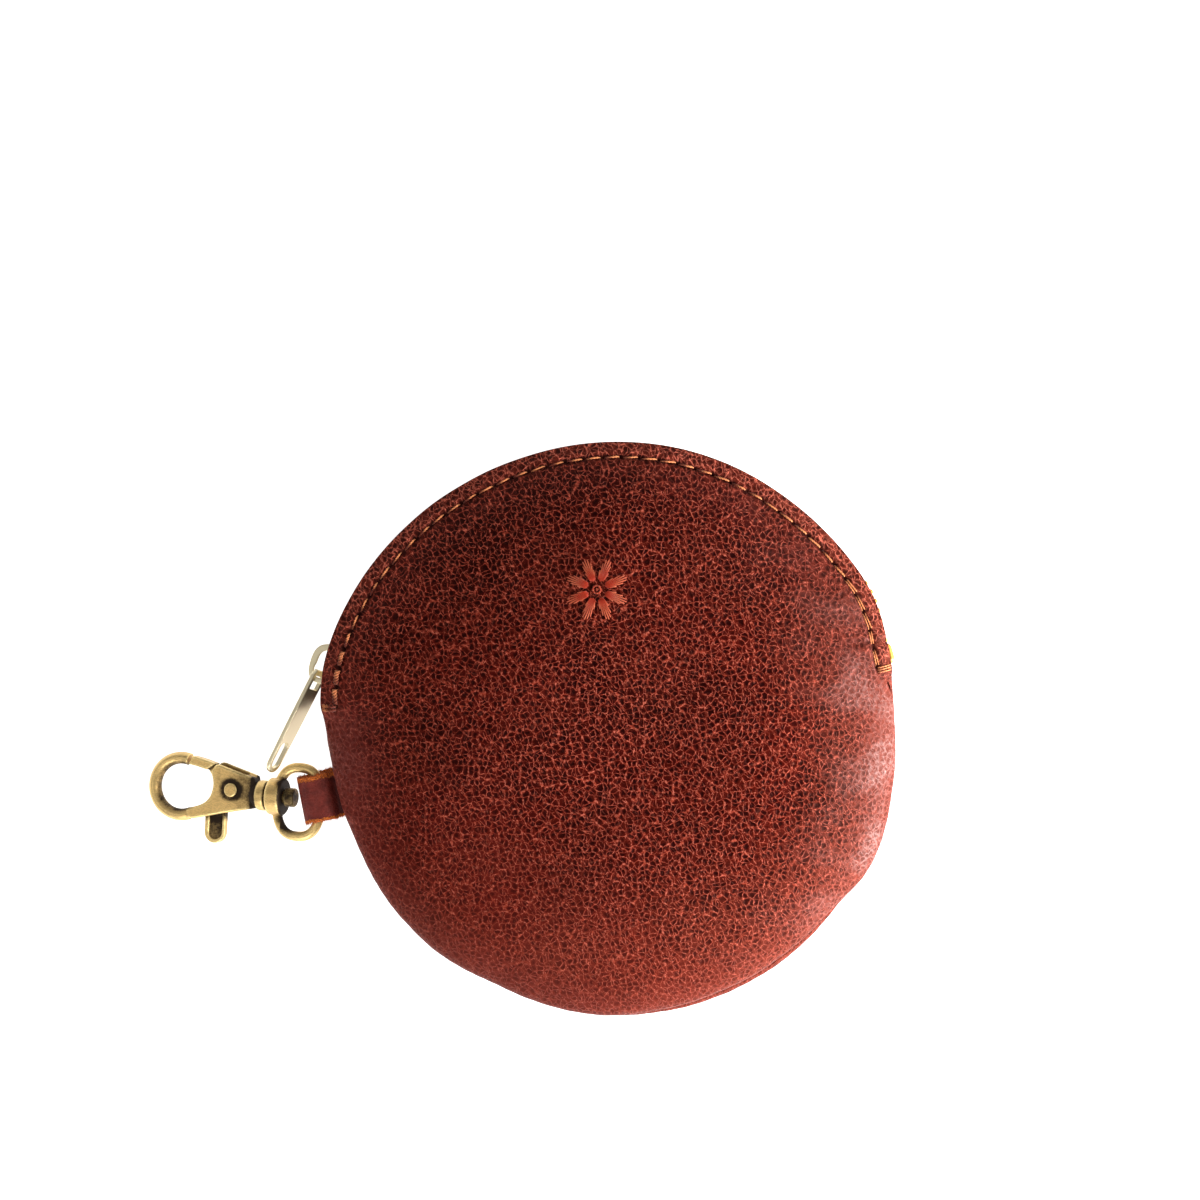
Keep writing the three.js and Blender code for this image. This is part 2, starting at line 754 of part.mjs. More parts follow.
// The room that the two panels leave for the loop's tail.
function loopSlot() {
  const half = loopWidth / 2 + pieceGap;
  const high = loopLeather + pieceGap;
  return boxSolid([-loopTail - pieceGap, -half, -high], [loopOpensFrom + 1, half, high]);
}

// The clasp, drawn in a frame whose X runs from the ring's far bar to the hook's tip and whose Y runs to the
// gate's side. It is turned over as it is put in place, so that the gate lies towards the zip.
const bossStart = ringLength - bossLength / 2;
const bossEnd = ringLength + bossLength / 2;
const headStart = bossStart - pieceGap - headLength;
const neckStart = bossEnd + pieceGap;
const bodyStart = neckStart + neckLength;
const bodyEnd = bodyStart + bodyLength;
const bowCentre = new THREE.Vector2(bodyEnd + bowAlong, bowOffset);
const rivetCentre = new THREE.Vector2(bodyEnd - rivetBack, rivetOffset);

// A closed wire along a flat superellipse, and the boss that the post turns in.
function ringSolid() {
  const path = [];
  const count = 24;
  const power = 2 / ringSquareness;
  for (let i = 0; i < count; i++) {
    const angle = (i / count) * 2 * Math.PI;
    const c = Math.cos(angle);
    const s = Math.sin(angle);
    path.push(
      new THREE.Vector3(
        (ringLength / 2) * (1 + Math.sign(c) * Math.abs(c) ** power),
        ringOffset + (ringWidth / 2) * Math.sign(s) * Math.abs(s) ** power,
        0,
      ),
    );
  }
  const curve = new THREE.CatmullRomCurve3(path, true);
  const wire = solidOf(new THREE.TubeGeometry(curve, 24, ringWire / 2, wireSides, true));
  const bevel = 0.4;
  const boss = turnedSolid([
    [bossStart, 0],
    [bossStart, bossRadius - bevel],
    [bossStart + bevel, bossRadius],
    [bossEnd - bevel, bossRadius],
    [bossEnd, bossRadius - bevel],
    [bossEnd, 0],
  ]);
  const bore = turnedSolid([
    [bossStart - 1, 0],
    [bossStart - 1, postRadius + runningGap],
    [bossEnd + 1, postRadius + runningGap],
    [bossEnd + 1, 0],
  ]);
  return wire.add(boss).subtract(bore);
}

// The body's outline. along is a share of bodyLength, gateSide and thumbSide are shares of the bow's outside.
const bodyTable = [
  { along: -0.02, gateSide: 0.46, thumbSide: 0.37 },
  { along: 0.08, gateSide: 0.52, thumbSide: 0.41 },
  { along: 0.65, gateSide: 0.73, thumbSide: 0.56 },
  { along: 0.94, gateSide: 0.85, thumbSide: 0.65 },
  { along: 1.07, gateSide: 0.6, thumbSide: 0.69 },
];

// The body's side of the bow's eye, from where the bow leaves it round to the gate. past is a share of the
// way from the body's end to the bow's middle, and up, towards the gate, a share of the bow's outside.
const eyeTable = [
  { past: 0.737, up: -0.85 },
  { past: 0.773, up: -0.5 },
  { past: 0.604, up: -0.48 },
  { past: 0.254, up: -0.35 },
  { past: 0.06, up: -0.13 },
  { past: -0.012, up: 0.2 },
  { past: 0.024, up: 0.42 },
];
const bowOutside = bowRadius + bowWire / 2;

function hookSolid() {
  const gateSide = bodyTable.map((row) => [bodyStart + row.along * bodyLength, row.gateSide * bowOutside]);
  const thumbSide = bodyTable.map((row) => [bodyStart + row.along * bodyLength, -row.thumbSide * bowOutside]);
  const front = eyeTable.map((row) => [bodyEnd + row.past * bowAlong, row.up * bowOutside]);
  const outline = [...thumbSide, ...front, ...gateSide.reverse()].map(([x, y]) => new THREE.Vector2(x, y));
  const body = plateSolid(outline, hookThickness, 0.35);
  const arc = arcPoints(bowCentre, bowRadius, bowMeetsBody, bowOpensAt, 18);
  const sections = arc.map((point) => {
    const out = point.clone().sub(bowCentre).normalize();
    const section = [];
    for (let j = 0; j < wireSides; j++) {
      const turn = ((j + 0.5) / wireSides) * 2 * Math.PI;
      const reach = (bowWire / 2 / Math.cos(Math.PI / wireSides)) * Math.cos(turn);
      const lift = (hookThickness / 2 / Math.cos(Math.PI / wireSides)) * Math.sin(turn) * 0.94;
      section.push(new THREE.Vector3(point.x + out.x * reach, point.y + out.y * reach, lift));
    }
    return section;
  });
  const bow = sweptStrip(sections);
  const bevel = 0.3;
  const neck = turnedSolid([
    [headStart, 0],
    [headStart, headRadius - bevel],
    [headStart + bevel, headRadius],
    [headStart + headLength, headRadius],
    [headStart + headLength, postRadius],
    [neckStart, postRadius],
    [neckStart, neckRadius - bevel],
    [neckStart + bevel, neckRadius],
    [bodyStart - bevel, neckRadius],
    [bodyStart, neckRadius - bevel],
    [bodyStart + 1.2, hookThickness / 2],
    [bodyStart + 1.2, 0],
  ]);
  const slotHalf = triggerThickness / 2 + runningGap;
  const slot = boxSolid(
    [bodyStart + bodyLength * 0.22, -bowOutside, -slotHalf],
    [bodyStart + bodyLength * 1.24, bowOutside, slotHalf],
  );
  const hole = new THREE.CylinderGeometry(rivetHole, rivetHole, hookThickness * 2, 14);
  hole.rotateX(Math.PI / 2);
  hole.translate(rivetCentre.x, rivetCentre.y, 0);
  return body.add(bow).add(neck).subtract(slot).subtract(solidOf(hole));
}

// The gate from its free end back to the body. angle is round the bow's middle, and lean is added to it on
// the outside, so that the free end clears the bow as it swings. inner and outer are shares of the bow's
// outside.
const gateTable = [
  { angle: 109.8, lean: 2.4, inner: 0.71, outer: 0.98 },
  { angle: 120, lean: 0, inner: 0.74, outer: 1.02 },
  { angle: 132, lean: 0, inner: 0.82, outer: 1.12 },
  { angle: 143, lean: 0, inner: 0.93, outer: 1.26 },
  { angle: 147, lean: 0, inner: 0.99, outer: 1.32 },
];

// The trigger: a hub on the rivet with the thumb lever on one side and, on the other, the arm that carries
// the thicker gate.
function triggerSolid() {
  const gatePoint = (angle, share) => {
    const reach = share * bowOutside;
    return new THREE.Vector2(
      bowCentre.x + reach * Math.cos(radians(angle)),
      bowCentre.y + reach * Math.sin(radians(angle)),
    );
  };
  const last = gateTable[gateTable.length - 1];
  const gateOutline = [
    ...gateTable.map((row) => gatePoint(row.angle + row.lean, row.outer)),
    ...gateTable.map((row) => gatePoint(row.angle, row.inner)).reverse(),
  ];
  const half = triggerWidth / 2;
  const thumb = new THREE.Vector2(bodyEnd - thumbBack, -thumbReach + half);
  const outline = [
    ...arcPoints(thumb, half, 180, 360, 8),
    new THREE.Vector2(thumb.x + half, -bowOutside * 0.3),
    new THREE.Vector2(rivetCentre.x + half, rivetCentre.y - half * 0.3),
    gatePoint(last.angle - 3, last.inner + 0.03),
    gatePoint(last.angle - 3, last.outer - 0.06),
    ...arcPoints(rivetCentre, half, 100, 200, 5),
    new THREE.Vector2(thumb.x - half, -bowOutside * 0.5),
  ];
  const hole = new THREE.CylinderGeometry(rivetRadius + runningGap, rivetRadius + runningGap, 4, 14);
  hole.rotateX(Math.PI / 2);
  hole.translate(rivetCentre.x, rivetCentre.y, 0);
  return plateSolid(outline, triggerThickness, 0.15)
    .add(plateSolid(gateOutline, gateThickness, 0.25))
    .subtract(solidOf(hole));
}

// The rivet through the body, with a low round head on each side.
function rivetSolid() {
  const face = hookThickness / 2 + 0.02;
  const half = [
    [face + rivetHeadHeight, 0],
    [face + rivetHeadHeight, rivetHeadRadius * 0.75],
    [face, rivetHeadRadius],
    [face, rivetRadius],
  ];
  const profile = [...half.map(([along, radius]) => [-along, radius]), ...half.reverse()];
  return turnedSolid(profile, 14).rotate([0, 90, 0]).translate([rivetCentre.x, rivetCentre.y, 0]);
}

// Materials

const plain = (color, roughness, metalness) => new THREE.MeshStandardMaterial({ color, roughness, metalness });
const leather = plain(0x6b2a20, 0.6, 0);
const rawLeather = plain(0x7a3424, 0.7, 0);
const weave = plain(0x4a2018, 0.95, 0);
const brass = plain(0xd8c68c, 0.3, 1);
const oldBrass = plain(0xa88b52, 0.4, 1);

// The pouch
const pouch = new THREE.Group();
const loopFrame = new THREE.Group();
loopFrame.position.copy(polar(loopAngle, [outlineRadius(loopAngle) + loopOut, seamHeight]));
loopFrame.rotation.z = radians(loopYaw);
loopFrame.updateMatrixWorld();
const slot = loopSlot().transform(loopFrame.matrixWorld.elements);
pouch.add(piece("front_panel", panelSolid(1).subtract(slot), leather));
pouch.add(piece("back_panel", panelSolid(-1).subtract(slot), leather));
pouch.add(piece("zip_tape_front", tapeSolid(1), weave));
pouch.add(piece("zip_tape_back", tapeSolid(-1), weave));
pouch.add(piece("zip_teeth_front", teethSolid(1), brass));
pouch.add(piece("zip_teeth_back", teethSolid(-1), brass));
loopFrame.add(piece("leather_loop", loopSolid(), rawLeather));
pouch.add(loopFrame);

const stopFrame = chainFrame(stopStart + (stopLength / 2) * degreesPerMillimetre);
stopFrame.add(piece("zip_bottom_stop", stopSolid(), brass));
pouch.add(stopFrame);

// The slider stands on the chain, and the pull hangs from its arch, swung out and rolled a little.
const sliderFrame = chainFrame(sliderAngle);
sliderFrame.add(piece("zip_slider", sliderSolid(), brass));
const pullFrame = new THREE.Group();
const swing = radians(pullSwing);
const roll = radians(pullRoll);
const along = new THREE.Vector3(-Math.cos(swing), Math.sin(swing), 0);
const across = new THREE.Vector3(
  Math.sin(swing) * Math.sin(roll),
  Math.cos(swing) * Math.sin(roll),
  Math.cos(roll),
);
pullFrame.applyMatrix4(new THREE.Matrix4().makeBasis(along, across, along.clone().cross(across)));
pullFrame.position.set(-pullAlong, chainThickness / 2 + runningGap + sliderPlate + pullOut, 0);
pullFrame.name = "pull_frame";
pullFrame.add(piece("zip_pull", pullSolid(), brass));
sliderFrame.add(pullFrame);
pouch.add(sliderFrame);

// The clasp hangs down from the loop until the tip of its bow rests on the ground.
const claspFrame = new THREE.Group();
const claspHeight = seamHeight - claspDrop;
const lowAlong = bowCentre.x + bowRadius + bowWire * 0.2;
const lowDepth = (hookThickness / 2) * 0.94;
const claspPitch =
  Math.asin((claspHeight - floorGap) / Math.hypot(lowAlong, lowDepth)) - Math.atan2(lowDepth, lowAlong);
claspFrame.position.set(claspAlong, claspAside, 0).applyMatrix4(loopFrame.matrixWorld).setZ(claspHeight);
claspFrame.rotation.set(0, claspPitch, radians(claspYaw), "ZYX");
claspFrame.name = "clasp_frame";
const claspSolids = {
  swivel_ring: ringSolid(),
  clasp_hook: hookSolid(),
  clasp_trigger: triggerSolid(),
  trigger_rivet: rivetSolid(),
};
for (const [name, solid] of Object.entries(claspSolids)) {
  claspFrame.add(piece(name, solid.mirror([0, 1, 0]), oldBrass));
}
pouch.add(claspFrame);

export default pouch;
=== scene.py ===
"""A round zip pouch of pebbled red-brown hide, with its stitches, brass zip and swivel clasp.

Sizes are in millimetres until a mesh is made. The origin, the axes and every place are those of the
packed frame: +X runs to the pouch's right, +Y to its zipped top and +Z up from the floor.
"""
import math
from collections import namedtuple
from functools import lru_cache, partial

import bpy
import numpy as np
from mathutils import Matrix, Vector


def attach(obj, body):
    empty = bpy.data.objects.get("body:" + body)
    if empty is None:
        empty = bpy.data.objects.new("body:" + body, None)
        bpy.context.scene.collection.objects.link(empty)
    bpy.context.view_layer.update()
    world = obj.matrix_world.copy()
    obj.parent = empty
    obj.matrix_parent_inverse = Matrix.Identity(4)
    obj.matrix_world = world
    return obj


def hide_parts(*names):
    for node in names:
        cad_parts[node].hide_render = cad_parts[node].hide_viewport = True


bl_info = {
    "name": "Round Leather Zip Pouch",
    "version": (1, 0, 0),
    "blender": (4, 5, 0),
    "location": "View3D > Sidebar > Pouch",
    "description": "Dresses the frame of a round zip pouch in hide, thread, brass and soft light",
    "category": "Object",
}

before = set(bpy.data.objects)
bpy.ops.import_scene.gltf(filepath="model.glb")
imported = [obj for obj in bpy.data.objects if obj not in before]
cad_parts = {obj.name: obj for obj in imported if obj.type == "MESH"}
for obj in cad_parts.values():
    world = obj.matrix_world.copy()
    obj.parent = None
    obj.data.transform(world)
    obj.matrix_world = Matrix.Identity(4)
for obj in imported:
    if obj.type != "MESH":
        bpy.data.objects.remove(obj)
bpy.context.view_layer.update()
MM = 0.001
SIDES = ((1, "front"), (-1, "back"))

# The voxels, in millimetres, that small and large brass parts are fused with
FINE = 0.1
COARSE = 0.12

# The leather body, as the solids have it
POUCH_RADIUS = 57.5
SEAM_HEIGHT = 11.5
FRONT_RISE = 13.0
REST_RADIUS = 24.0
WALL = 1.4
SEAM_GAP = 0.3
SEAM_IN = 0.016
SEAM_BULGE = 0.019
TUCK_FROM = 0.7
BACK_ROUNDNESS = 2.3
SEAM_FLATNESS = 0.52
LIP_FLATNESS = 0.95
LIP_HEIGHT = 5.2
ZIP_RIGHT = 12.2
ZIP_LEFT = 175.8
PARTING_INSIDE = 0.5
PARTING_OUTSIDE = 7.5
PARTING_SPREAD = 42.0
PARTING_FROM = 0.3
PARTING_TO = 0.96
DEGREES_PER_MM = 180 / (math.pi * POUCH_RADIUS)

# The outline seen from above and how the hide rolls over its edge, by angle round the middle
EDGE_COLUMNS = ("angle", "radius", "roundness", "front_in", "back_in")
EDGE_TABLE = np.array([
    (0, 0.979, 3.2, 0, 0.012), (14, 0.984, 2.9, 0, 0.004), (28, 1.005, 2.6, 0, 0),
    (45, 0.995, 2.5, 0, 0), (70, 0.992, 2.4, 0, 0), (90, 0.988, 2.4, 0, 0), (112, 0.985, 2.3, 0, 0),
    (132, 0.993, 2.3, 0, 0), (150, 1.009, 2.3, 0, 0), (166, 1.021, 2.3, 0, 0),
    (174, 1.014, 2.3, 0, 0.002), (181, 0.997, 2.4, 0, 0.006), (190, 0.983, 2.4, 0, 0.01),
    (206, 0.98, 2.4, 0, 0.012), (222, 0.99, 2.4, 0, 0.012), (246, 0.984, 2.5, 0, 0.01),
    (262, 1.003, 2.6, 0.006, 0.004), (282, 1.008, 2.7, 0.018, 0), (305, 1.005, 2.8, 0.02, 0),
    (320, 1.002, 2.9, 0.012, 0), (330, 1.016, 3, 0.004, 0.008), (343, 1, 3.1, 0, 0.012),
])

# How far the zip's chain lies inside the outline: angle, share of the radius
CHAIN_TABLE = np.array([
    (12, -0.009), (19, 0.006), (27, 0), (38, 0.016), (60, 0.021), (120, 0.032), (176, 0.041),
])

# Soft hollows in the front panel: across, up, reach and depth as shares of the radius
HOLLOW_TABLE = (
    (0.1, 0.06, 0.34, 0.012),
    (0.62, 0.55, 0.2, 0.014),
    (-0.62, 0.36, 0.26, 0.012),
    (-0.42, -0.42, 0.24, 0.01),
    (0.74, -0.12, 0.16, 0.01),
)
HOLLOW_FADE = 8

# How finely a panel is divided: round it, and in from its edge
SECTORS = 720
SECTOR_ANGLES = np.arange(SECTORS) * 360.0 / SECTORS
EDGE_ROWS = np.array([0, 0.15, 0.35, 0.6, 0.9, 1.25, *np.arange(1.6, 4.81, 0.22), *np.arange(5.2, 17, 0.55)])
FRONT_ROWS = 44
BACK_ROWS = 20
LIP_ROWS = 6
BACK_FLOOR = 0.03
BACK_GRAIN_SHIFT = 300.0

# The stitches along the zip
STITCH_IN = 3.1
STITCH_PITCH = 3.97
STITCH_FROM = ZIP_RIGHT + 1.0
STITCH_TO = ZIP_LEFT - 0.5
STITCH_LENGTH = 3.05

# The zip
CHAIN_HALF = 1.7 / 2
TOOTH_PITCH = 2.0
TAPE_THICKNESS = 0.5
TAPE_DEPTH = 6.5
TAPE_INSET = 2.6
STOP_INSET = 0.9
STOP_LENGTH = 4.2
STOP_START = ZIP_RIGHT + STOP_INSET * DEGREES_PER_MM
SLIDER_ANGLE = 167.6
SLIDER_LENGTH = 8.6
SLIDER_HALF_WIDTH = 3.3
SLIDER_PLATE = 0.7
SLIDER_INSIDE = CHAIN_HALF + 0.25
CHAIN_START = STOP_START + (STOP_LENGTH + 0.3) * DEGREES_PER_MM
CHAIN_END = SLIDER_ANGLE - 0.6 * DEGREES_PER_MM

# A tooth from its root to its head: along, half its length on the chain, half its height
TOOTH_TABLE = ((-2.35, 0.34, 0.62), (-2.2, 0.45, 0.98), (-1.5, 0.47, 1.02), (-1.15, 0.42, 0.9),
               (-0.7, 0.34, 0.78), (-0.15, 0.36, 0.8), (0.2, 0.42, 0.82), (0.5, 0.36, 0.74), (0.62, 0.2, 0.5))

# The slider's outline and its arch, as shares of half its length, half its width and the arch's height
SLIDER_TABLE = ((1, 0.72), (0.8, 0.86), (-0.35, 1), (-0.8, 0.8), (-1, 0.35))
ARCH_TABLE = ((0.98, -0.1), (0.97, 0.3), (0.84, 0.66), (0.56, 0.88), (0.15, 0.98), (-0.35, 1), (-0.68, 0.9),
              (-0.88, 0.64), (-0.94, 0.3), (-0.94, -0.1))
ARCH_HEIGHT = 3.95
ARCH_BAND = 1.35
ARCH_WIDTH = 1.3

# The pull
PULL_LENGTH = 22.1
PULL_HALF_WIDTH = 2.5
PULL_TIP = 2.2
PULL_THICKNESS = 0.92
PULL_BAR = 0.6
PULL_SWING = 14.4
PULL_ROLL = 23
EYE_LENGTH = 2.95
EYE_HALF_WIDTH = 1.65
SLOT_LENGTH = 3.0
SLOT_HALF_WIDTH = 1.4
SLOT_FROM_TIP = 2.35

# The leather loop
LOOP_ANGLE = 193.36
LOOP_OUT = 3.31
LOOP_YAW = 191.0
LOOP_WIDTH = 9.3
LOOP_LEATHER = 1.2
LOOP_SLACK = 1.7
LOOP_REACH = 4.5
LOOP_TAIL = 9.0
LOOP_CORNER = 0.3
FIBRE_STATIONS = 6
FIBRE_SIDES = 4

# The clasp, along its own X from the ring's far bar to the hook's tip
RING_LENGTH = 9.4
RING_WIDTH = 13.76
RING_MIDDLE = -0.8
RING_WIRE = 2.0
BOSS_HALF = 1.575
BOSS_RADIUS = 3.75
BOSS_START = RING_LENGTH - BOSS_HALF
BOSS_END = RING_LENGTH + BOSS_HALF
POST_RADIUS = 1.15
HEAD_START = BOSS_START - 2.4
NECK_START = BOSS_END + 0.3
BODY_START = NECK_START + 2.6
BODY_LENGTH = 9.0
BODY_END = BODY_START + BODY_LENGTH
BOW_REACH = 7.45
BOW_CENTRE = (BODY_END + BOW_REACH, 0.67)
BOW_RADIUS = 5.77
BOW_WIRE = 2.45
BOW_OUTSIDE = BOW_RADIUS + BOW_WIRE / 2
HOOK_THICKNESS = 3.3
RIVET_AT = (BODY_END - 4, 0.72)
THUMB_RADIUS = 2.2
THUMB_AT = (BODY_END - 0.55, -10.3 + THUMB_RADIUS)

# The hook's body: share of its length, gate's side and thumb's side as shares of the bow's outside
BODY_TABLE = ((-0.02, 0.46, 0.37), (0.08, 0.52, 0.41), (0.65, 0.73, 0.56), (0.94, 0.85, 0.65),
              (1.07, 0.6, 0.69))

# The hook's eye, from the thumb's side round to the gate's: shares of the bow's reach and of its outside
EYE_TABLE = ((0.737, -0.85), (0.773, -0.5), (0.604, -0.48), (0.254, -0.35), (0.06, -0.13), (-0.012, 0.2),
             (0.024, 0.42))

# The gate: angle round the bow's middle, lean of its outer side, inner and outer reach
GATE_TABLE = ((109.8, 2.4, 0.71, 0.98), (120, 0, 0.74, 1.02), (132, 0, 0.82, 1.12), (143, 0, 0.93, 1.26),
              (147, 0, 0.99, 1.32))

# The rosette in thread
ROSETTE_AT = (-3.3, 27.6)
ROSETTE_PETALS = 8
ROSETTE_REACH = 6.6


# Curves and shares

def smoothstep(value, low, high):
    """0 below low, 1 above high and smooth between them."""
    share = np.clip((np.asarray(value, dtype=float) - low) / (high - low), 0, 1)
    return share * share * (3 - 2 * share)


def lerp(start, end, share):
    return start + (end - start) * share


def unit(vectors):
    length = np.linalg.norm(vectors, axis=-1, keepdims=True)
    return vectors / np.maximum(length, 1e-9)


def bump_at(value, centre, width):
    """A smooth bump of height 1, in the same units as its width."""
    return np.exp(-((value - centre) / width) ** 2)


def angle_gap(angle, centre):
    """The signed way from centre to angle, in degrees, between -180 and 180."""
    return np.mod(angle - centre + 180, 360) - 180


def rim_patch(angle, from_edge, centre, width, full, gone):
    """A soft patch on the rim, its middle and width in degrees, full near the edge and gone farther in."""
    return bump_at(angle_gap(angle, centre), 0, width) * (1 - smoothstep(from_edge, full, gone))


def soft_noise(x, y, seed, scale):
    """A gentle seeded ripple of about -1 to 1, from a few crossing waves."""
    rng = np.random.default_rng(seed)
    total = np.zeros(np.broadcast(x, y).shape)
    for _ in range(9):
        turn = rng.uniform(0, 2 * math.pi)
        length = scale * rng.uniform(0.6, 1.7)
        phase = rng.uniform(0, 2 * math.pi)
        total += np.sin((x * math.cos(turn) + y * math.sin(turn)) * 2 * math.pi / length + phase)
    return total / 4.5


def polar(angle, radius, height):
    turned_by, radius, height = np.broadcast_arrays(np.radians(angle), radius, height)
    return np.stack([radius * np.cos(turned_by), radius * np.sin(turned_by), height], axis=-1)


def round_turn(count):
    """Evenly spaced angles of one whole turn, in radians."""
    return np.arange(count) * 2 * math.pi / count


def travelled_along(line):
    """How far each point of a line is from its start, along it."""
    return np.concatenate([[0], np.cumsum(np.linalg.norm(np.diff(line, axis=0), axis=1))])


def spaced(line, travelled, at):
    """The points of a flat line at given ways along it."""
    return np.stack([np.interp(at, travelled, line[:, k]) for k in range(2)], axis=1)


def relax(line, times):
    """Draws each point but the ends toward its neighbours."""
    for _ in range(times):
        line[1:-1] = (line[:-2] + 2 * line[1:-1] + line[2:]) / 4
    return line


def left_of(way):
    return np.stack([-way[:, 1], way[:, 0]], axis=1)


def beside(line):
    """The flat normals on a line's left."""
    return left_of(unit(np.gradient(line, axis=0)))


def arc(centre, radius, start, end, steps):
    turn = np.radians(np.linspace(start, end, steps + 1))
    return np.stack([centre[0] + radius * np.cos(turn), centre[1] + radius * np.sin(turn)], axis=1)


def smooth_outline(points, closed=True, rounds=2):
    """Rounds a polygon's corners by cutting them, a few times over."""
    points = np.asarray(points, dtype=float)
    for _ in range(rounds):
        start, end = (points, np.roll(points, -1, axis=0)) if closed else (points[:-1], points[1:])
        cut = np.stack([0.75 * start + 0.25 * end, 0.25 * start + 0.75 * end], axis=1).reshape(-1, 2)
        points = cut if closed else np.concatenate([points[:1], cut, points[-1:]])
    return points


# Shapes of the pouch

def along_edge(column, angle):
    """A smooth closed curve through one column of the edge table."""
    angles = EDGE_TABLE[:, 0]
    values = EDGE_TABLE[:, EDGE_COLUMNS.index(column)]
    count = len(angles)
    turned_by = np.mod(angle, 360.0)
    row = np.searchsorted(angles, turned_by, side="right") - 1

    def at(index):
        return angles[index % count] + 360 * (index // count), values[index % count]

    (ax, ay), (bx, by), (cx, cy), (dx, dy) = at(row - 1), at(row), at(row + 1), at(row + 2)
    span = cx - bx
    t = (turned_by - bx) / span
    leaving = (cy - ay) / (cx - ax) * span
    arriving = (dy - by) / (dx - bx) * span
    return (
        by * (2 * t ** 3 - 3 * t ** 2 + 1) + leaving * (t ** 3 - 2 * t ** 2 + t)
        + cy * (3 * t ** 2 - 2 * t ** 3) + arriving * (t ** 3 - t ** 2)
    )


def outline_radius(angle):
    return POUCH_RADIUS * along_edge("radius", angle)


def zip_share(angle, share=1.0):
    """1 where the lips stand apart for the zip and 0 where the two panels meet in the seam."""
    turned_by = np.mod(angle, 360.0)
    toward_edge = np.sin(np.asarray(share) * math.pi / 2)
    spread = PARTING_SPREAD * (1 - smoothstep(toward_edge, PARTING_FROM, PARTING_TO))
    inside = PARTING_INSIDE + spread
    outside = PARTING_OUTSIDE + spread
    signed = np.where(turned_by > 270, turned_by - 360, turned_by)
    from_right = smoothstep(signed, ZIP_RIGHT - outside, ZIP_RIGHT + inside)
    from_left = smoothstep(turned_by, ZIP_LEFT - inside, ZIP_LEFT + outside)
    return np.where(turned_by > 270, from_right, from_right * (1 - from_left))


def chain_radius(angle):
    """The distance from the axis of the line that the zip's teeth follow."""
    angles, insets = CHAIN_TABLE.T
    angle = np.asarray(angle, dtype=float)
    row = np.clip(np.searchsorted(angles, angle, side="right"), 1, len(angles) - 1)
    share = smoothstep(angle, angles[row - 1], angles[row])
    return outline_radius(angle) - POUCH_RADIUS * lerp(insets[row - 1], insets[row], share)


def panel_section(side, angle, share):
    """A panel's outer face at an angle, from share 0 in its middle to 1 at its edge: radius, height."""
    opened = zip_share(angle, share)
    shyness = np.maximum(along_edge("front_in" if side > 0 else "back_in", angle), 0)
    seamed = 1 - zip_share(angle)
    widest = outline_radius(angle) * (1 + (SEAM_BULGE - shyness) * seamed)
    edge = widest * (1 - (SEAM_IN + SEAM_BULGE) * seamed)
    turn = share * math.pi / 2
    roundness = along_edge("roundness", angle) if side > 0 else BACK_ROUNDNESS
    run = np.sin(turn) ** (2 / roundness)
    fall = np.maximum(np.cos(turn), 0) ** (2 * lerp(SEAM_FLATNESS, LIP_FLATNESS, opened))
    tuck = np.clip((share - TUCK_FROM) / (1 - TUCK_FROM), 0, 1) ** 3
    lip = lerp(SEAM_GAP / 2, LIP_HEIGHT, opened)
    inner = 0 if side > 0 else REST_RADIUS
    radius = inner + (widest - inner) * run - (widest - edge) * tuck
    if side > 0:
        return radius, SEAM_HEIGHT + lip + (FRONT_RISE - lip) * fall
    return radius, (SEAM_HEIGHT - lip) * (1 - fall)


def press_hollows(points, radius):
    """Lowers points by the front panel's soft hollows, which fade out at the rim."""
    depth = np.zeros(points.shape[:-1])
    for across, up, reach, share in HOLLOW_TABLE:
        away = (points[..., 0] - across * POUCH_RADIUS) ** 2 + (points[..., 1] - up * POUCH_RADIUS) ** 2
        depth += share * POUCH_RADIUS * np.exp(-away / (reach * POUCH_RADIUS) ** 2)
    points[..., 2] -= depth * np.clip(1 - (radius / POUCH_RADIUS) ** HOLLOW_FADE, 0, 1)


def sewn_share(angle, lead=1.5, into=0.0):
    """1 along the row of stitches, fading over a few degrees past its two ends."""
    begun = smoothstep(angle, STITCH_FROM - lead, STITCH_FROM + into)
    return begun * (1 - smoothstep(angle, STITCH_TO, STITCH_TO + lead))


def stitch_count(angle):
    """How many stitches lie between the row's start and an angle."""
    return (angle - STITCH_FROM) / DEGREES_PER_MM / STITCH_PITCH


def stitch_hole(angle, width):
    """Bumps at the stitches' holes, as wide as that share of a stitch."""
    return bump_at(np.mod(stitch_count(angle) + 0.5, 1) - 0.5, 0, width)


def deep_fold(x, y, width, below=0.0, start=43):
    """The fold that runs in by the zip's right-hand end."""
    return bump_at(y, 17.2 + 0.1 * (x - 50) - below, width) * smoothstep(x, start, start + 6)


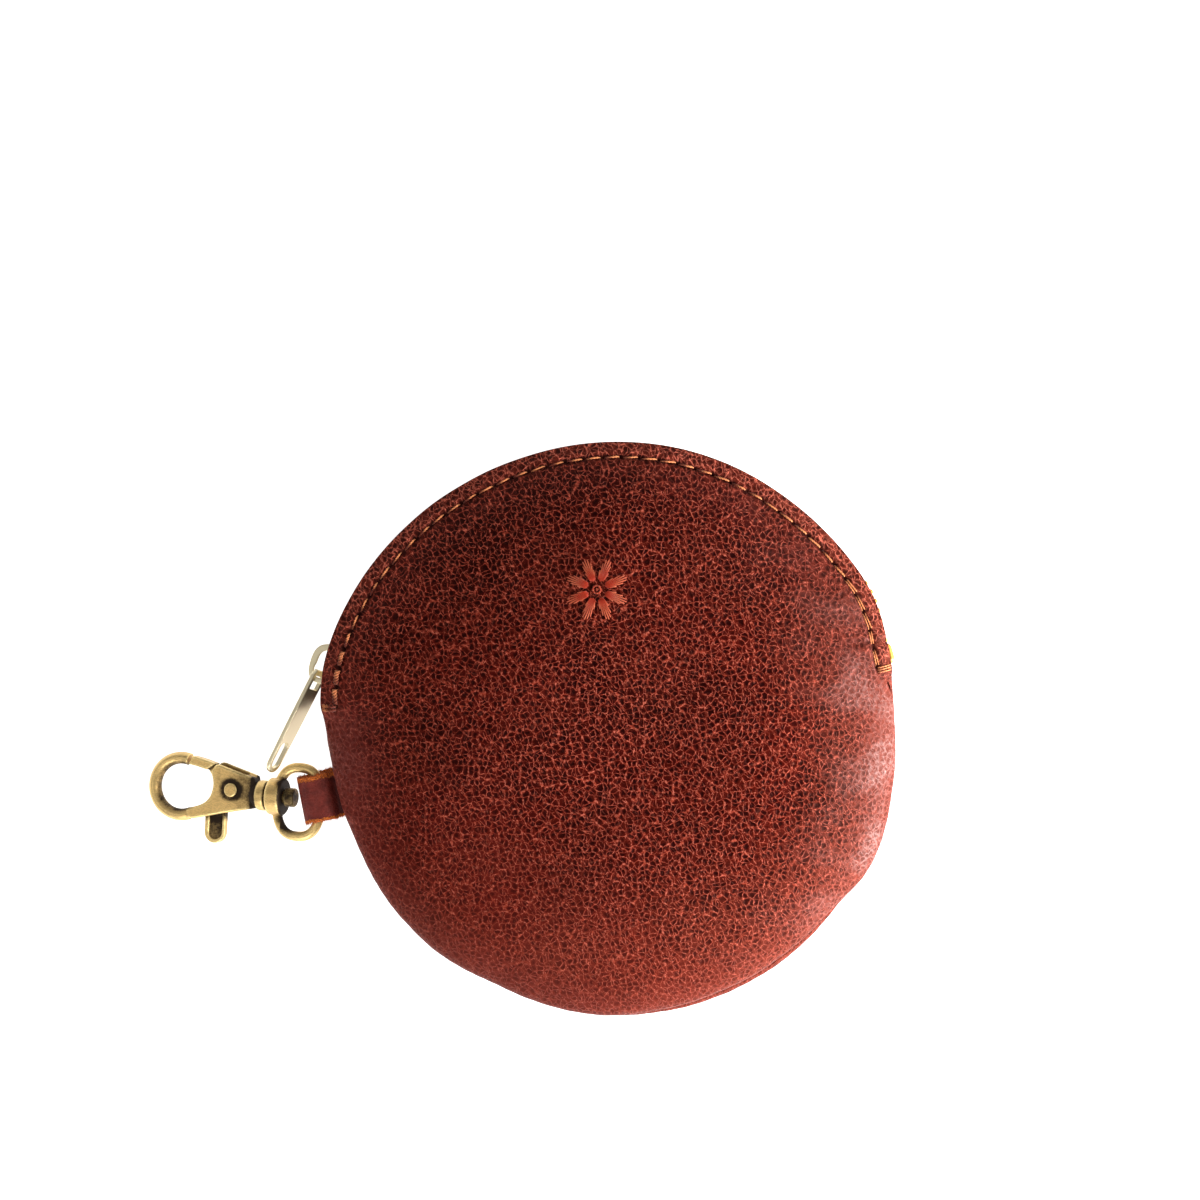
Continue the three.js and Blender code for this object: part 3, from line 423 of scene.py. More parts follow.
def hide_displacement(side, points, angle, from_edge):
    """How far the hide stands out from the plain form: its groove, puckers, creases, dents and sag."""
    x, y = points[..., 0], points[..., 1]
    outward = 0.16 * soft_noise(x, y, 4 + side, 26.0) + 0.05 * soft_noise(x, y, 14 + side, 9.0)
    # The stitches' groove, the swell on both sides of it and the hollow that each stitch sinks into
    between = 0.5 - 0.5 * np.cos(2 * math.pi * stitch_count(angle))
    groove = (0.34 - 0.1 * between) * bump_at(from_edge, STITCH_IN, 0.42)
    swell = (0.1 + 0.08 * between) * bump_at(from_edge, STITCH_IN - 1.3, 0.8)
    swell = swell + 0.1 * bump_at(from_edge, STITCH_IN + 1.4, 0.9)
    hole = 0.42 * stitch_hole(angle, 0.11) * bump_at(from_edge, STITCH_IN, 0.38)
    outward += sewn_share(angle) * (swell - groove - hole)
    if side > 0:
        # Fine folds that run in from the right-hand rim
        patchy = 0.45 + 0.55 * smoothstep(soft_noise(x, y, 77, 7.0), -0.5, 0.6)
        fan = rim_patch(angle, from_edge, 24, 14, 7, 15) * smoothstep(from_edge, 3.4, 4.6) * patchy
        wander = 2.2 * soft_noise(x, y, 71, 12.0)
        outward += 0.075 * fan * (np.sin(angle * 5.1 + wander)
                                  + 0.6 * np.sin(angle * 7.7 - 1.7 * wander + from_edge * 0.5))
        outward += 0.16 * deep_fold(x, y, 1.1, below=1.6, start=44) - 0.3 * deep_fold(x, y, 0.55)
        # Fine wrinkles along the smooth part of the left rim
        wrinkled = rim_patch(angle, from_edge, 186, 9, 9, 20) * smoothstep(from_edge, 2, 5)
        outward += 0.05 * wrinkled * np.sin(y * 3.6 + 2.4 * soft_noise(x, y, 83, 9.0))
        # A long shallow dip in from the left
        outward -= 0.35 * bump_at(y - 0.18 * x, 29, 5) * bump_at(x, -36, 14)
    # A dent in the lower right rim, and small puckers along the turned seam
    outward -= 0.3 * rim_patch(angle, from_edge, 322, 5.0, 4, 12)
    turned_in = (1 - zip_share(angle)) * bump_at(from_edge, 3.5, 3.2)
    return outward + 0.025 * turned_in * np.sin(angle * 1.7 + 2 * np.sin(angle * 0.23 + side))


def grid_normals(points, side):
    outward = np.gradient(points, axis=0)
    round_axis = (np.roll(points, -1, axis=1) - np.roll(points, 1, axis=1)) / 2
    return unit(np.cross(outward, round_axis)) * side


Surface = namedtuple("Surface", "points normals from_edge along")


@lru_cache(maxsize=None)
def panel_surface(side):
    """A panel's outer face on a polar grid, from its middle to its edge.

    The last two tell how far each point lies from the edge and from the middle, along the hide.
    """
    shares = np.linspace(0, 1, 900)
    grid_angle, grid_share = np.meshgrid(SECTOR_ANGLES, shares, indexing="ij")
    radius, height = panel_section(side, grid_angle, grid_share)
    steps = np.hypot(np.diff(radius, axis=1), np.diff(height, axis=1))
    length = np.concatenate([np.zeros((SECTORS, 1)), np.cumsum(steps, axis=1)], axis=1)
    whole = length[:, -1]
    rows = FRONT_ROWS if side > 0 else BACK_ROWS
    rings = [(whole - EDGE_ROWS[-1]) * (row - 0.25) / (rows + 0.75) for row in range(1, rows + 1)]
    along = np.stack(rings + [whole - from_edge for from_edge in EDGE_ROWS[::-1]])
    share_at = np.stack([np.interp(along[:, i], length[i], shares) for i in range(SECTORS)], axis=1)
    angle = np.broadcast_to(SECTOR_ANGLES, share_at.shape)
    radius, height = panel_section(side, angle, share_at)
    points = polar(angle, radius, height)
    if side > 0:
        press_hollows(points, radius)
    from_edge = whole - along
    outward = hide_displacement(side, points, angle, from_edge)
    points = points + grid_normals(points, side) * outward[..., None]
    # Over the loop's tail the lips part a little
    over_loop = 1 - smoothstep(np.abs(angle_gap(angle, LOOP_ANGLE)), 4.6, 7.4)
    points[..., 2] += side * 1.3 * over_loop * (1 - smoothstep(from_edge, 1, 8.5))
    if side < 0:
        points[..., 2] = np.maximum(points[..., 2], BACK_FLOOR)
    return Surface(points, grid_normals(points, side), from_edge, along)


def on_panel(side, angle, from_edge):
    """A point and its normal on a panel's outer face, by angle and distance in from the edge."""
    surface = panel_surface(side)
    column = np.mod(angle, 360.0) * SECTORS / 360
    left = int(column) % SECTORS
    row = np.interp(from_edge, EDGE_ROWS, np.arange(len(EDGE_ROWS)))
    low = min(int(row), len(EDGE_ROWS) - 2)
    last = len(surface.points) - 1

    def on(grid):
        near, far = (lerp(grid[last - at, left], grid[last - at, (left + 1) % SECTORS], column - int(column))
                     for at in (low, low + 1))
        return lerp(near, far, row - low)

    return on(surface.points), unit(on(surface.normals))


# Meshes

def add_object(name, data):
    piece = bpy.data.objects.new(name, data)
    bpy.context.scene.collection.objects.link(piece)
    return piece


def new_mesh(name, points, faces):
    mesh = bpy.data.meshes.new(name)
    mesh.from_pydata(np.asarray(points, dtype=float).tolist(), [], [list(map(int, face)) for face in faces])
    mesh.validate()
    return mesh


def make_mesh(name, points, faces, material=None):
    """A new smooth object in the scene, its points given in millimetres."""
    mesh = new_mesh(name, np.asarray(points, dtype=float) * MM, faces)
    mesh.update()
    mesh.shade_smooth()
    if material is not None:
        mesh.materials.append(material)
    return add_object(name, mesh)


def point_values(piece, name, values, kind="FLOAT"):
    """Stores a number or a vector for each point of a mesh."""
    attribute = piece.data.attributes.new(name, kind, "POINT")
    key = "value" if kind == "FLOAT" else "vector"
    attribute.data.foreach_set(key, np.array(values, dtype=np.float32).ravel())


def uv_from_points(piece, name, coordinates):
    """Stores a UV map from one pair of numbers for each point."""
    layer = piece.data.uv_layers.new(name=name)
    corners = np.empty(len(piece.data.loops), dtype=np.int32)
    piece.data.loops.foreach_get("vertex_index", corners)
    layer.data.foreach_set("uv", np.asarray(coordinates, dtype=np.float32)[corners].ravel())


def ring_faces(rings, sides, flip=False, closed=False):
    """Quads between rings of points that follow one another, and from the last to the first if closed."""
    faces = []
    for ring in range(rings if closed else rings - 1):
        start, beyond = ring * sides, (ring + 1) % rings * sides
        for i in range(sides):
            j = (i + 1) % sides
            face = (start + i, beyond + i, beyond + j, start + j)
            faces.append(face[::-1] if flip else face)
    return faces


def swept(sections, flip=False):
    """A closed tube through sections of points that all have as many corners, capped at both ends."""
    sections = np.asarray(sections, dtype=float)
    count, sides = sections.shape[:2]
    first = tuple(range(sides))
    last = tuple(range((count - 1) * sides, count * sides))
    caps = [first[::-1], last] if flip else [first, last[::-1]]
    return sections.reshape(-1, 3), ring_faces(count, sides, flip) + caps


def joined(parts):
    """Several parts as one, each a pair of points and faces."""
    faces = []
    start = 0
    for points, part_faces in parts:
        faces += [tuple(i + start for i in face) for face in part_faces]
        start += len(points)
    return np.concatenate([points for points, _ in parts]), faces


def put(points, matrix):
    """Points turned and moved by a matrix."""
    matrix = np.array(matrix)
    return points @ matrix[:3, :3].T + matrix[:3, 3]


def standing_frame(angle, radius, yaw):
    """A frame at the seam's height whose X is turned by yaw, in degrees, from the pouch's."""
    turn = math.radians(angle)
    place = Matrix.Translation((radius * math.cos(turn), radius * math.sin(turn), SEAM_HEIGHT))
    return place @ Matrix.Rotation(math.radians(yaw), 4, "Z")


def settle(piece, body, slot, *nodes):
    """Ties a finished piece to its body and hides the solids that it stands for. The slot is not used."""
    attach(piece, body)
    for node in nodes:
        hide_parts(node)
    return piece


# Materials

FLOAT, VECTOR, COLOR = "NodeSocketFloat", "NodeSocketVector", "NodeSocketColor"


def fill(tree, node, values):
    """Fills a node's sockets from values or other nodes' outputs. A colour may be given without its alpha."""
    for key, value in values.items():
        socket = node.inputs[key]
        if isinstance(value, bpy.types.NodeSocket):
            tree.links.new(value, socket)
        elif socket.type == "RGBA" and len(value) == 3:
            socket.default_value = (*value, 1)
        else:
            socket.default_value = value


def add_node(tree, kind, inputs=None, **settings):
    """Adds a node, gives it its settings and fills its sockets."""
    node = tree.nodes.new(kind)
    for key, value in settings.items():
        setattr(node, key, value)
    fill(tree, node, inputs or {})
    return node


def calc(tree, operation, *values):
    """The output of a Math node."""
    return add_node(tree, "ShaderNodeMath", dict(enumerate(values)), operation=operation).outputs[0]


def products(tree):
    """Two sums of a tree in short: a times b, and a times b plus c."""
    return partial(calc, tree, "MULTIPLY"), partial(calc, tree, "MULTIPLY_ADD")


def on_vectors(tree, operation, first, second):
    """The output of a Vector Math node."""
    key = "Scale" if operation == "SCALE" else 1
    return add_node(tree, "ShaderNodeVectorMath", {0: first, key: second}, operation=operation).outputs[0]


def ramp(tree, value, low, high, start=0.0, end=1.0):
    """A smooth step of a value into a new range."""
    inputs = {"Value": value, "From Min": low, "From Max": high, "To Min": start, "To Max": end}
    return add_node(tree, "ShaderNodeMapRange", inputs, interpolation_type="SMOOTHSTEP").outputs["Result"]


def mixed(tree, share, first, second):
    """A mix of two colours."""
    return add_node(tree, "ShaderNodeMix", {0: share, 6: first, 7: second}, data_type="RGBA").outputs[2]


def washed(tree, color, *washes):
    """A colour with others laid over it in turn, each a share, how much of it counts, and a colour."""
    for share, part, over in washes:
        color = mixed(tree, calc(tree, "MULTIPLY", share, part), color, over)
    return color


def noise(tree, place, scale, detail, roughness=0.5):
    inputs = {"Vector": place, "Scale": scale, "Detail": detail, "Roughness": roughness}
    return add_node(tree, "ShaderNodeTexNoise", inputs).outputs["Fac"]


def flat_cells(tree, feature, place, often, randomness):
    """A pattern of flat cells, measured to their middles or to their edges."""
    return add_node(tree, "ShaderNodeTexVoronoi", {"Vector": place, "Scale": often, "Randomness": randomness},
                    voronoi_dimensions="2D", feature=feature)


def bumped(tree, height, strength, distance):
    inputs = {"Height": height, "Strength": strength, "Distance": distance}
    return add_node(tree, "ShaderNodeBump", inputs).outputs["Normal"]


def value_attribute(tree, name):
    return add_node(tree, "ShaderNodeAttribute", attribute_name=name).outputs["Fac"]


def object_place(tree):
    return add_node(tree, "ShaderNodeTexCoord").outputs["Object"]


def uv_place(tree, name):
    return add_node(tree, "ShaderNodeUVMap", uv_map=name).outputs["UV"]


def parted(tree, vector):
    return add_node(tree, "ShaderNodeSeparateXYZ", {"Vector": vector}).outputs


def new_material(name):
    """A material with its node tree and its shader."""
    material = bpy.data.materials.new(name)
    material.use_nodes = True
    return material, material.node_tree, material.node_tree.nodes["Principled BSDF"]


def new_group(name, inputs, outputs):
    """A shader node group with its sockets, each given by its kind or by the number that it starts from."""
    group = bpy.data.node_groups.new(name, "ShaderNodeTree")
    for label, given in inputs.items():
        if isinstance(given, str):
            group.interface.new_socket(label, in_out="INPUT", socket_type=given)
        else:
            group.interface.new_socket(label, in_out="INPUT", socket_type=FLOAT).default_value = given
    for label, kind in outputs.items():
        group.interface.new_socket(label, in_out="OUTPUT", socket_type=kind)
    return group, group.nodes.new("NodeGroupInput").outputs, group.nodes.new("NodeGroupOutput")


def use_group(tree, name, build, inputs):
    """The outputs of the group of that name, which is built the first time that it is asked for."""
    group = bpy.data.node_groups.get(name) or build(name)
    return add_node(tree, "ShaderNodeGroup", inputs, node_tree=group).outputs


def linear(red, green, blue):
    """A display colour of 0 to 255 as the linear values that a shader takes."""
    shares = (level / 255 for level in (red, green, blue))
    return tuple(share / 12.92 if share <= 0.04045 else ((share + 0.055) / 1.055) ** 2.4 for share in shares)


def color_property(name, description, default):
    return bpy.props.FloatVectorProperty(
        name=name, description=description, subtype="COLOR", size=3, min=0, max=1, default=default)


def size_property(name, description, default, low=0.0, high=100.0):
    return bpy.props.FloatProperty(name=name, description=description, default=default, min=low, max=high)


# The hide

class HideSettings(bpy.types.PropertyGroup):
    """The hide of the two round panels."""
    cell_size: size_property("Cell size", "Width of one pebble of the grain, in millimetres", 1.2, 0.2, 6)
    ridge_width: size_property("Ridge width", "Share of a cell that its raised edge takes", 0.085, 0.02, 0.5)
    grain_depth: size_property("Grain depth", "Height of the ridges, in millimetres", 0.24, 0, 1)
    dark_color: color_property("Dark hide", "Colour between the ridges", linear(46, 6, 3))
    mid_color: color_property("Warm hide", "Colour of the hide's lighter clouds", linear(68, 12, 6))
    ridge_color: color_property("Ridge", "Colour of the raised net", linear(150, 56, 38))
    # Painted highlight: the pale pink that ridges take in specks and along the lip.
    ridge_highlight_color: color_property("Pale ridge", "Colour of the net's paler parts", linear(208, 104, 82))
    # Also used for painted shade in the creases, the stitches' groove, the hollow inside the stitches and the
    # middle.
    pit_and_shade_color: color_property("Pit", "Colour of the pores and folds", linear(20, 1, 1))
    # Painted light: lightens the rims, most of all low on the right, toward the key light.
    painted_light_color: color_property(
        "Pulled", "Colour where the hide is stretched and its wax has thinned", linear(112, 47, 34))
    # Painted sheen: a grey-pink haze laid on the colour of the right rim, where the light's reflection falls.
    painted_sheen_color: color_property("Wax bloom", "Colour of the dull wax on the right rim", linear(122, 70, 62))
    rubbed_color: color_property("Rubbed hide", "Colour where the grain is rubbed smooth", linear(92, 25, 18))
    flesh_color: color_property("Flesh side", "Colour of the hide's inside", linear(92, 48, 32))


def build_pebble_grain(name):
    """Round dark cells in a net of raised ridges, as boarded hide has. The vector is in millimetres."""
    group, start, end = new_group(
        name, {"Vector": VECTOR, "Cell Size": 1.3, "Wander": 0.5, "Ridge Width": 0.16},
        {"Ridge": FLOAT, "Pit": FLOAT, "Height": FLOAT})
    times, times_plus = products(group)

    def net_of(cells, width):
        return calc(group, "SUBTRACT", 1.0, ramp(group, cells.outputs["Distance"], 0.0, width))

    wander = add_node(group, "ShaderNodeTexNoise", {"Vector": start["Vector"], "Scale": 0.55, "Detail": 2.0})
    shift = on_vectors(group, "SUBTRACT", wander.outputs["Color"], (0.5, 0.5, 0.5))
    shift = on_vectors(group, "SCALE", on_vectors(group, "SCALE", shift, start["Wander"]), 3.0)
    placed = on_vectors(group, "ADD", start["Vector"], shift)
    grit = noise(group, start["Vector"], 1.6, 4.0, 0.65)
    patches = noise(group, start["Vector"], 0.9, 3.0, 0.6)
    # The net: broad ridges in patches, finer ones between them and long creases
    often = calc(group, "DIVIDE", 1.0, start["Cell Size"])
    edges = flat_cells(group, "DISTANCE_TO_EDGE", placed, often, 0.92)
    cells = flat_cells(group, "F1", placed, often, 0.92)
    fine = flat_cells(group, "DISTANCE_TO_EDGE", placed, times(often, 2.15), 1.0)
    width = times(start["Ridge Width"], times_plus(grit, 1.7, 0.15))
    ridge = times(net_of(edges, width), ramp(group, patches, 0.36, 0.6, 0.2, 1.0))
    small_ridge = times(net_of(fine, times(width, 0.9)), ramp(group, grit, 0.47, 0.62))
    drawn = add_node(group, "ShaderNodeMapping", {"Vector": placed, "Rotation": (0, 0, math.radians(60))})
    drawn = on_vectors(group, "MULTIPLY", drawn.outputs["Vector"], (0.2, 0.72, 1))
    crease = net_of(flat_cells(group, "DISTANCE_TO_EDGE", drawn, 1.0, 1.0), 0.1)
    crease = times(crease, ramp(group, grit, 0.4, 0.56))
    net = calc(group, "MAXIMUM", calc(group, "MAXIMUM", ridge, times(small_ridge, 0.45)), crease)
    # The pits: round, of uneven size, and deeper in some cells than in others
    chance = add_node(group, "ShaderNodeSeparateColor", {"Color": cells.outputs["Color"]}).outputs
    share = calc(group, "DIVIDE", cells.outputs["Distance"], times_plus(chance[0], 0.2, 0.37))
    hollow = calc(group, "SUBTRACT", 1.0, ramp(group, share, 0.45, 1.0))
    hollow = times(hollow, ramp(group, edges.outputs["Distance"], 0.03, 0.16))
    pit = times(hollow, ramp(group, chance[1], 0.0, 0.5, 0.4, 1.0))
    height = calc(group, "SUBTRACT", times_plus(net, 0.7, times(grit, 0.35)), times(pit, 0.5))
    fill(group, end, {"Ridge": net, "Pit": pit, "Height": height})
    return group


def hide_material(settings):
    """Waxed red-brown hide: lighter ridges round dark cells, smoother and redder where it has rubbed."""
    material, tree, shader = new_material("pebbled_hide")
    times, times_plus = products(tree)
    place = uv_place(tree, "hide")
    rubbed, fold, inside, lip, painted_light, painted_shade, waxed = (value_attribute(tree, name) for name in (
        "rubbed", "fold", "inside", "lip", "painted_light", "painted_shade", "polish"))
    grain = use_group(tree, "pebble_grain", build_pebble_grain, {
        "Vector": place, "Wander": 0.55,
        "Cell Size": settings.cell_size, "Ridge Width": settings.ridge_width})
    strength = times_plus(rubbed, -0.62, 1.0)
    broad = ramp(tree, noise(tree, place, 0.045, 3.0, 0.55), 0.3, 0.7)
    # The base: broad clouds, the rubbed hide, painted light on the lip and on the rims low on the right, and
    # painted shade inside the stitches, upper left and in the middle.
    color = washed(
        tree, mixed(tree, broad, settings.dark_color, settings.mid_color),
        (rubbed, 0.75, settings.rubbed_color), (lip, 0.12, settings.ridge_color),
        (painted_light, 0.7, settings.painted_light_color), (painted_shade, 0.6, settings.pit_and_shade_color))
    # The ridges, with painted highlights: pale pink in specks, and paler and fuller on the lip, whose base is
    # also lifted toward the ridge colour above as painted light
    shown = times_plus(lip, 0.35, times_plus(strength, 0.75, 0.1))
    pale = calc(tree, "MAXIMUM", ramp(tree, noise(tree, place, 1.9, 3.0, 0.7), 0.46, 0.62), lip)
    tinted = mixed(tree, pale, settings.ridge_color, settings.ridge_highlight_color)
    color = washed(tree, color, (grain["Ridge"], shown, tinted))
    # The pits, the lip's crumbled grain, painted shade in the folds and the stitches' groove, and a painted
    # sheen of grey-pink on the right rim
    crumbled = times(times(lip, 0.4), ramp(tree, noise(tree, place, 1.15, 3.0, 0.6), 0.56, 0.46))
    pits = calc(tree, "MAXIMUM", times(grain["Pit"], strength), crumbled)
    color = washed(tree, color, (pits, 0.85, settings.pit_and_shade_color), (fold, 0.8, settings.pit_and_shade_color),
                   (waxed, 0.32, settings.painted_sheen_color))
    rough = times_plus(rubbed, -0.04, times_plus(grain["Ridge"], -0.05, 0.44))
    # The shine of the wax, on the ridges and in flecks between the pits
    flecked = ramp(tree, noise(tree, place, 1.1, 4.0, 0.7), 0.4, 0.6)
    flat = times(flecked, times_plus(grain["Pit"], -0.9, 1.0))
    polish = times_plus(times(flat, waxed), 0.75, times(grain["Ridge"], times_plus(waxed, 0.7, 0.06)))
    lift = times_plus(noise(tree, place, 6.0, 3.0), 0.12, times(grain["Height"], strength))
    fill(tree, shader, {
        "Base Color": mixed(tree, inside, color, settings.flesh_color),
        "Roughness": times_plus(inside, 0.35, rough),
        "Specular IOR Level": 0.03, "Specular Tint": (1, 0.66, 0.56),
        "Coat Weight": polish, "Coat Roughness": 0.56, "Coat IOR": 1.45,
        "Normal": bumped(tree, lift, 0.8, settings.grain_depth * MM)})
    return material


def rubbed_share(side, x, y, angle, from_edge):
    """Where handling has rubbed the grain flat: the rim all round and the lower left."""
    rim = (1 - smoothstep(from_edge, 2, 15)) * (1 - 0.8 * zip_share(angle))
    lower = smoothstep(-0.6 * x - y, 8, 62)
    right = bump_at(angle_gap(angle, -2), 0, 26) * bump_at(from_edge, 7, 7)
    left = rim_patch(angle, from_edge, 185, 9, 4, 18)
    cloud = 0.5 + 0.5 * soft_noise(x, y, 31 + side, 24.0)
    return np.clip(0.45 * rim + 0.62 * lower + 0.6 * right + 0.75 * left + 0.14 * (cloud - 0.4), 0, 1)


def painted_light_share(side, x, y, angle, from_edge):
    """Painted light: the hide made lighter on the rims, most of all low on the right, the side the key light
    comes from.
    """
    right = rim_patch(angle, from_edge, -14, 46, 5, 30)
    low = smoothstep(-y, 14, 50) * 0.36
    rim = 0.25 * (1 - smoothstep(from_edge, 1, 9))
    return np.clip(right + low + rim + 0.09 * soft_noise(x, y, 61 + side, 17.0), 0, 1)


def painted_shade_share(side, x, y, angle, from_edge):
    """Painted shade: along the hollow inside the stitches, upper left, where the form leans away from the
    light, and in the middle.
    """
    hollow = rim_patch(angle, from_edge, 118, 36, 9, 24) * smoothstep(from_edge, 3.2, 6)
    return np.clip(1.3 * hollow + 0.6 * bump_at(np.hypot(x, y), 0, 18), 0, 1) * (side > 0)


def gloss_and_painted_sheen_share(side, x, y, angle, from_edge):
    """Where the wax on the hide shines, by its coat and by a painted sheen in its colour: the right rim, in
    soft patches, and a little all round.
    """
    right = rim_patch(angle, from_edge, -3, 38, 7, 25) * smoothstep(from_edge, 1, 5)
    cloud = smoothstep(0.5 + 0.5 * soft_noise(x, y, 47 + side, 11.0), 0.3, 0.85)
    left = 0.4 * rim_patch(angle, from_edge, 187, 10, 5, 19)
    return np.clip(left + right * (0.3 + 0.9 * cloud) + 0.1 * (1 - smoothstep(from_edge, 4, 14)), 0, 1)


def lip_share(side, x, y, angle, from_edge):
    """The strip outside the stitches, where the hide is turned over the zip and its grain is coarse."""
    sewn = sewn_share(angle, 2.0, 2.0) * (1 - 0.6 * smoothstep(angle, 148, 166))
    return sewn * (1 - smoothstep(from_edge, STITCH_IN - 0.9, STITCH_IN + 0.1))


def crease_shade_share(side, x, y, angle, from_edge):
    """Painted shade in the creases: the stitches' groove and holes, the deep fold by the zip's right end and
    the edge of the seam.
    """
    groove = 0.8 * bump_at(from_edge, STITCH_IN + 0.12, 0.42)
    hole = stitch_hole(angle, 0.13) * bump_at(from_edge, STITCH_IN, 0.5)
    fold = 0.35 * deep_fold(x, y, 0.6) * (side > 0)
    seam = (1 - zip_share(angle)) * (1 - smoothstep(from_edge, 0.1, 0.8))
    return np.clip(sewn_share(angle) * (groove + hole) + fold + 0.35 * seam, 0, 1)


# What is stored on every point of a panel, all worked out from the same five values
PANEL_SHARES = {"rubbed": rubbed_share, "polish": gloss_and_painted_sheen_share, "lip": lip_share, "painted_light": painted_light_share,
                "painted_shade": painted_shade_share, "fold": crease_shade_share}


def build_panel(name, side, material):
    """One round panel: its grained face, its rounded lip and its flesh side, as one closed skin."""
    points, normals, from_edge, along = panel_surface(side)
    leaving = unit(points[-1] - points[-3]) * (0.1 + 0.32 * zip_share(SECTOR_ANGLES)[:, None])
    lip = []
    for turn in np.linspace(0, math.pi, LIP_ROWS + 1)[1:]:
        through = WALL * (0.5 - 0.5 * math.cos(turn))
        lip.append(points[-1] - normals[-1] * through + leaving * math.sin(turn))
    inner_rows = list(range(len(points) - 4, 2, -7))
    grid = np.concatenate([points, lip, points[inner_rows] - normals[inner_rows] * WALL])
    outer_pole = points[0].mean(axis=0)
    inner_pole = outer_pole - np.array([0, 0, side * WALL])
    faces = ring_faces(len(grid), SECTORS, flip=side < 0)
    pole = len(grid) * SECTORS
    last = pole - SECTORS
    for i in range(SECTORS):
        j = (i + 1) % SECTORS
        for face in ((pole, i, j), (pole + 1, last + j, last + i)):
            faces.append(face if side > 0 else face[::-1])
    piece = make_mesh(name, np.concatenate([grid.reshape(-1, 3), [outer_pole, inner_pole]]), faces, material)

    def past_edge(values):
        """One value for each row of the lip and one for the whole flesh side, spread over their rows."""
        return np.repeat(values, [1] * LIP_ROWS + [len(inner_rows)])[:, None]

    run = np.concatenate([along, along[-1] + past_edge([0.6] * LIP_ROWS + [1.0])])
    flat = polar(SECTOR_ANGLES, run if side > 0 else run + REST_RADIUS, 0.0)[..., :2].reshape(-1, 2)
    flat = np.concatenate([flat, np.zeros((2, 2))])
    uv_from_points(piece, "hide", flat if side > 0 else flat + np.array([0, BACK_GRAIN_SHIFT]))
    nothing = np.zeros((len(grid) - len(points), SECTORS))
    x, y = points[..., 0], points[..., 1]
    for label, share_at in PANEL_SHARES.items():
        share = share_at(side, x, y, np.broadcast_to(SECTOR_ANGLES, along.shape), from_edge)
        # Only the rubbing runs on over the edge
        runs_on = label == "rubbed"
        beyond = nothing + share[-1] if runs_on else nothing
        poles = [share[0, 0] if runs_on else 0, 0]
        point_values(piece, label, np.append(np.concatenate([share, beyond]).ravel(), poles))
    inside = nothing + past_edge([0] * (LIP_ROWS // 2) + [0.5] * (LIP_ROWS // 2) + [1])
    point_values(piece, "inside", np.append(np.concatenate([np.zeros(along.shape), inside]).ravel(), [0, 1]))
    return piece


class POUCH_OT_hide(bpy.types.Operator):
    """Makes the two round panels of pebbled hide"""
    bl_idname = "pouch.hide"
    bl_label = "Hide Panels"

    def execute(self, context):
        material = hide_material(context.scene.pouch_hide)
        for side, name in SIDES:
            settle(build_panel(f"{name}_hide", side, material), "pouch", "leather", f"{name}_panel")
        return {"FINISHED"}


# Solids made of overlapping parts. A part is its points and faces, in its own frame.

def plate(outline, thickness, bevel=0.0):
    """A flat outline given a thickness, centred on its own plane, its edges taken off by the bevel."""
    outline = np.asarray(outline, dtype=float)
    before, after = np.roll(outline, 1, axis=0), np.roll(outline, -1, axis=0)
    leftward = np.sum(outline[:, 0] * after[:, 1] - after[:, 0] * outline[:, 1]) > 0
    inward = left_of(unit(after - before)) * (1 if leftward else -1)
    half = thickness / 2
    levels = [(-half, 0), (half, 0)]
    if bevel:
        levels = [(-half, bevel), (-half + bevel, 0), (half - bevel, 0), (half, bevel)]
    sections = [np.column_stack([outline + inward * inset, np.full(len(outline), height)])
                for height, inset in levels]
    return swept(sections, flip=leftward)


def plate_between(outline, low, high):
    points, faces = plate(outline, high - low)
    return points + np.array([0, 0, (low + high) / 2]), faces


def block(low, high):
    """A box between two corners."""
    (ax, ay, az), (bx, by, bz) = low, high
    return plate_between([(ax, ay), (bx, ay), (bx, by), (ax, by)], az, bz)


def stadium(start, end, radius, steps=12):
    """A slot's outline along X between the middles of its two round ends."""
    return np.concatenate([arc((end, 0), radius, -90, 90, steps), arc((start, 0), radius, 90, 270, steps)])


def turned(profile, sides=40):
    """A round solid along X from pairs of distance along and radius that start and end near the axis."""
    c, s = np.cos(round_turn(sides)), np.sin(round_turn(sides))
    sections = [np.column_stack([np.full(sides, along), max(radius, 0.01) * c, max(radius, 0.01) * s])
                for along, radius in profile]
    return swept(sections, flip=profile[-1][0] > profile[0][0])


def rod(start, end, radius):
    return turned([(start, 0), (start, radius), (end, radius), (end, 0)])


def rounded_bar(start, end, radius, corner, steps=4):
    """A turned bar with rounded shoulders."""
    turn = np.linspace(0, math.pi / 2, steps)
    rise = [(start + corner * (1 - math.cos(t)), radius - corner * (1 - math.sin(t))) for t in turn]
    fall = [(end - (a - start), r) for a, r in rise[::-1]]
    return turned([(start, 0)] + rise + fall + [(end, 0)])


def tube(path, wide, high, sides=28, closed=False):
    """A tube along a flat path of X and Y, wide in that plane and high across it."""
    way = np.roll(path, -1, axis=0) - np.roll(path, 1, axis=0) if closed else np.gradient(path, axis=0)
    out = -left_of(unit(way))
    turn = round_turn(sides)
    flat = path[:, None, :] + out[:, None, :] * (wide / 2 * np.cos(turn))[None, :, None]
    lift = np.broadcast_to(high / 2 * np.sin(turn), flat.shape[:2])
    sections = np.concatenate([flat, lift[..., None]], axis=-1)
    if closed:
        return sections.reshape(-1, 3), ring_faces(len(path), sides, flip=True, closed=True)
    return swept(sections, flip=True)


def moved(part, matrix):
    points, faces = part
    return put(points, matrix), faces


def stood_up(part):
    """Turns a part's thickness from Z to Y, so that its own Y becomes -Z."""
    return moved(part, Matrix.Rotation(-math.pi / 2, 4, "X"))


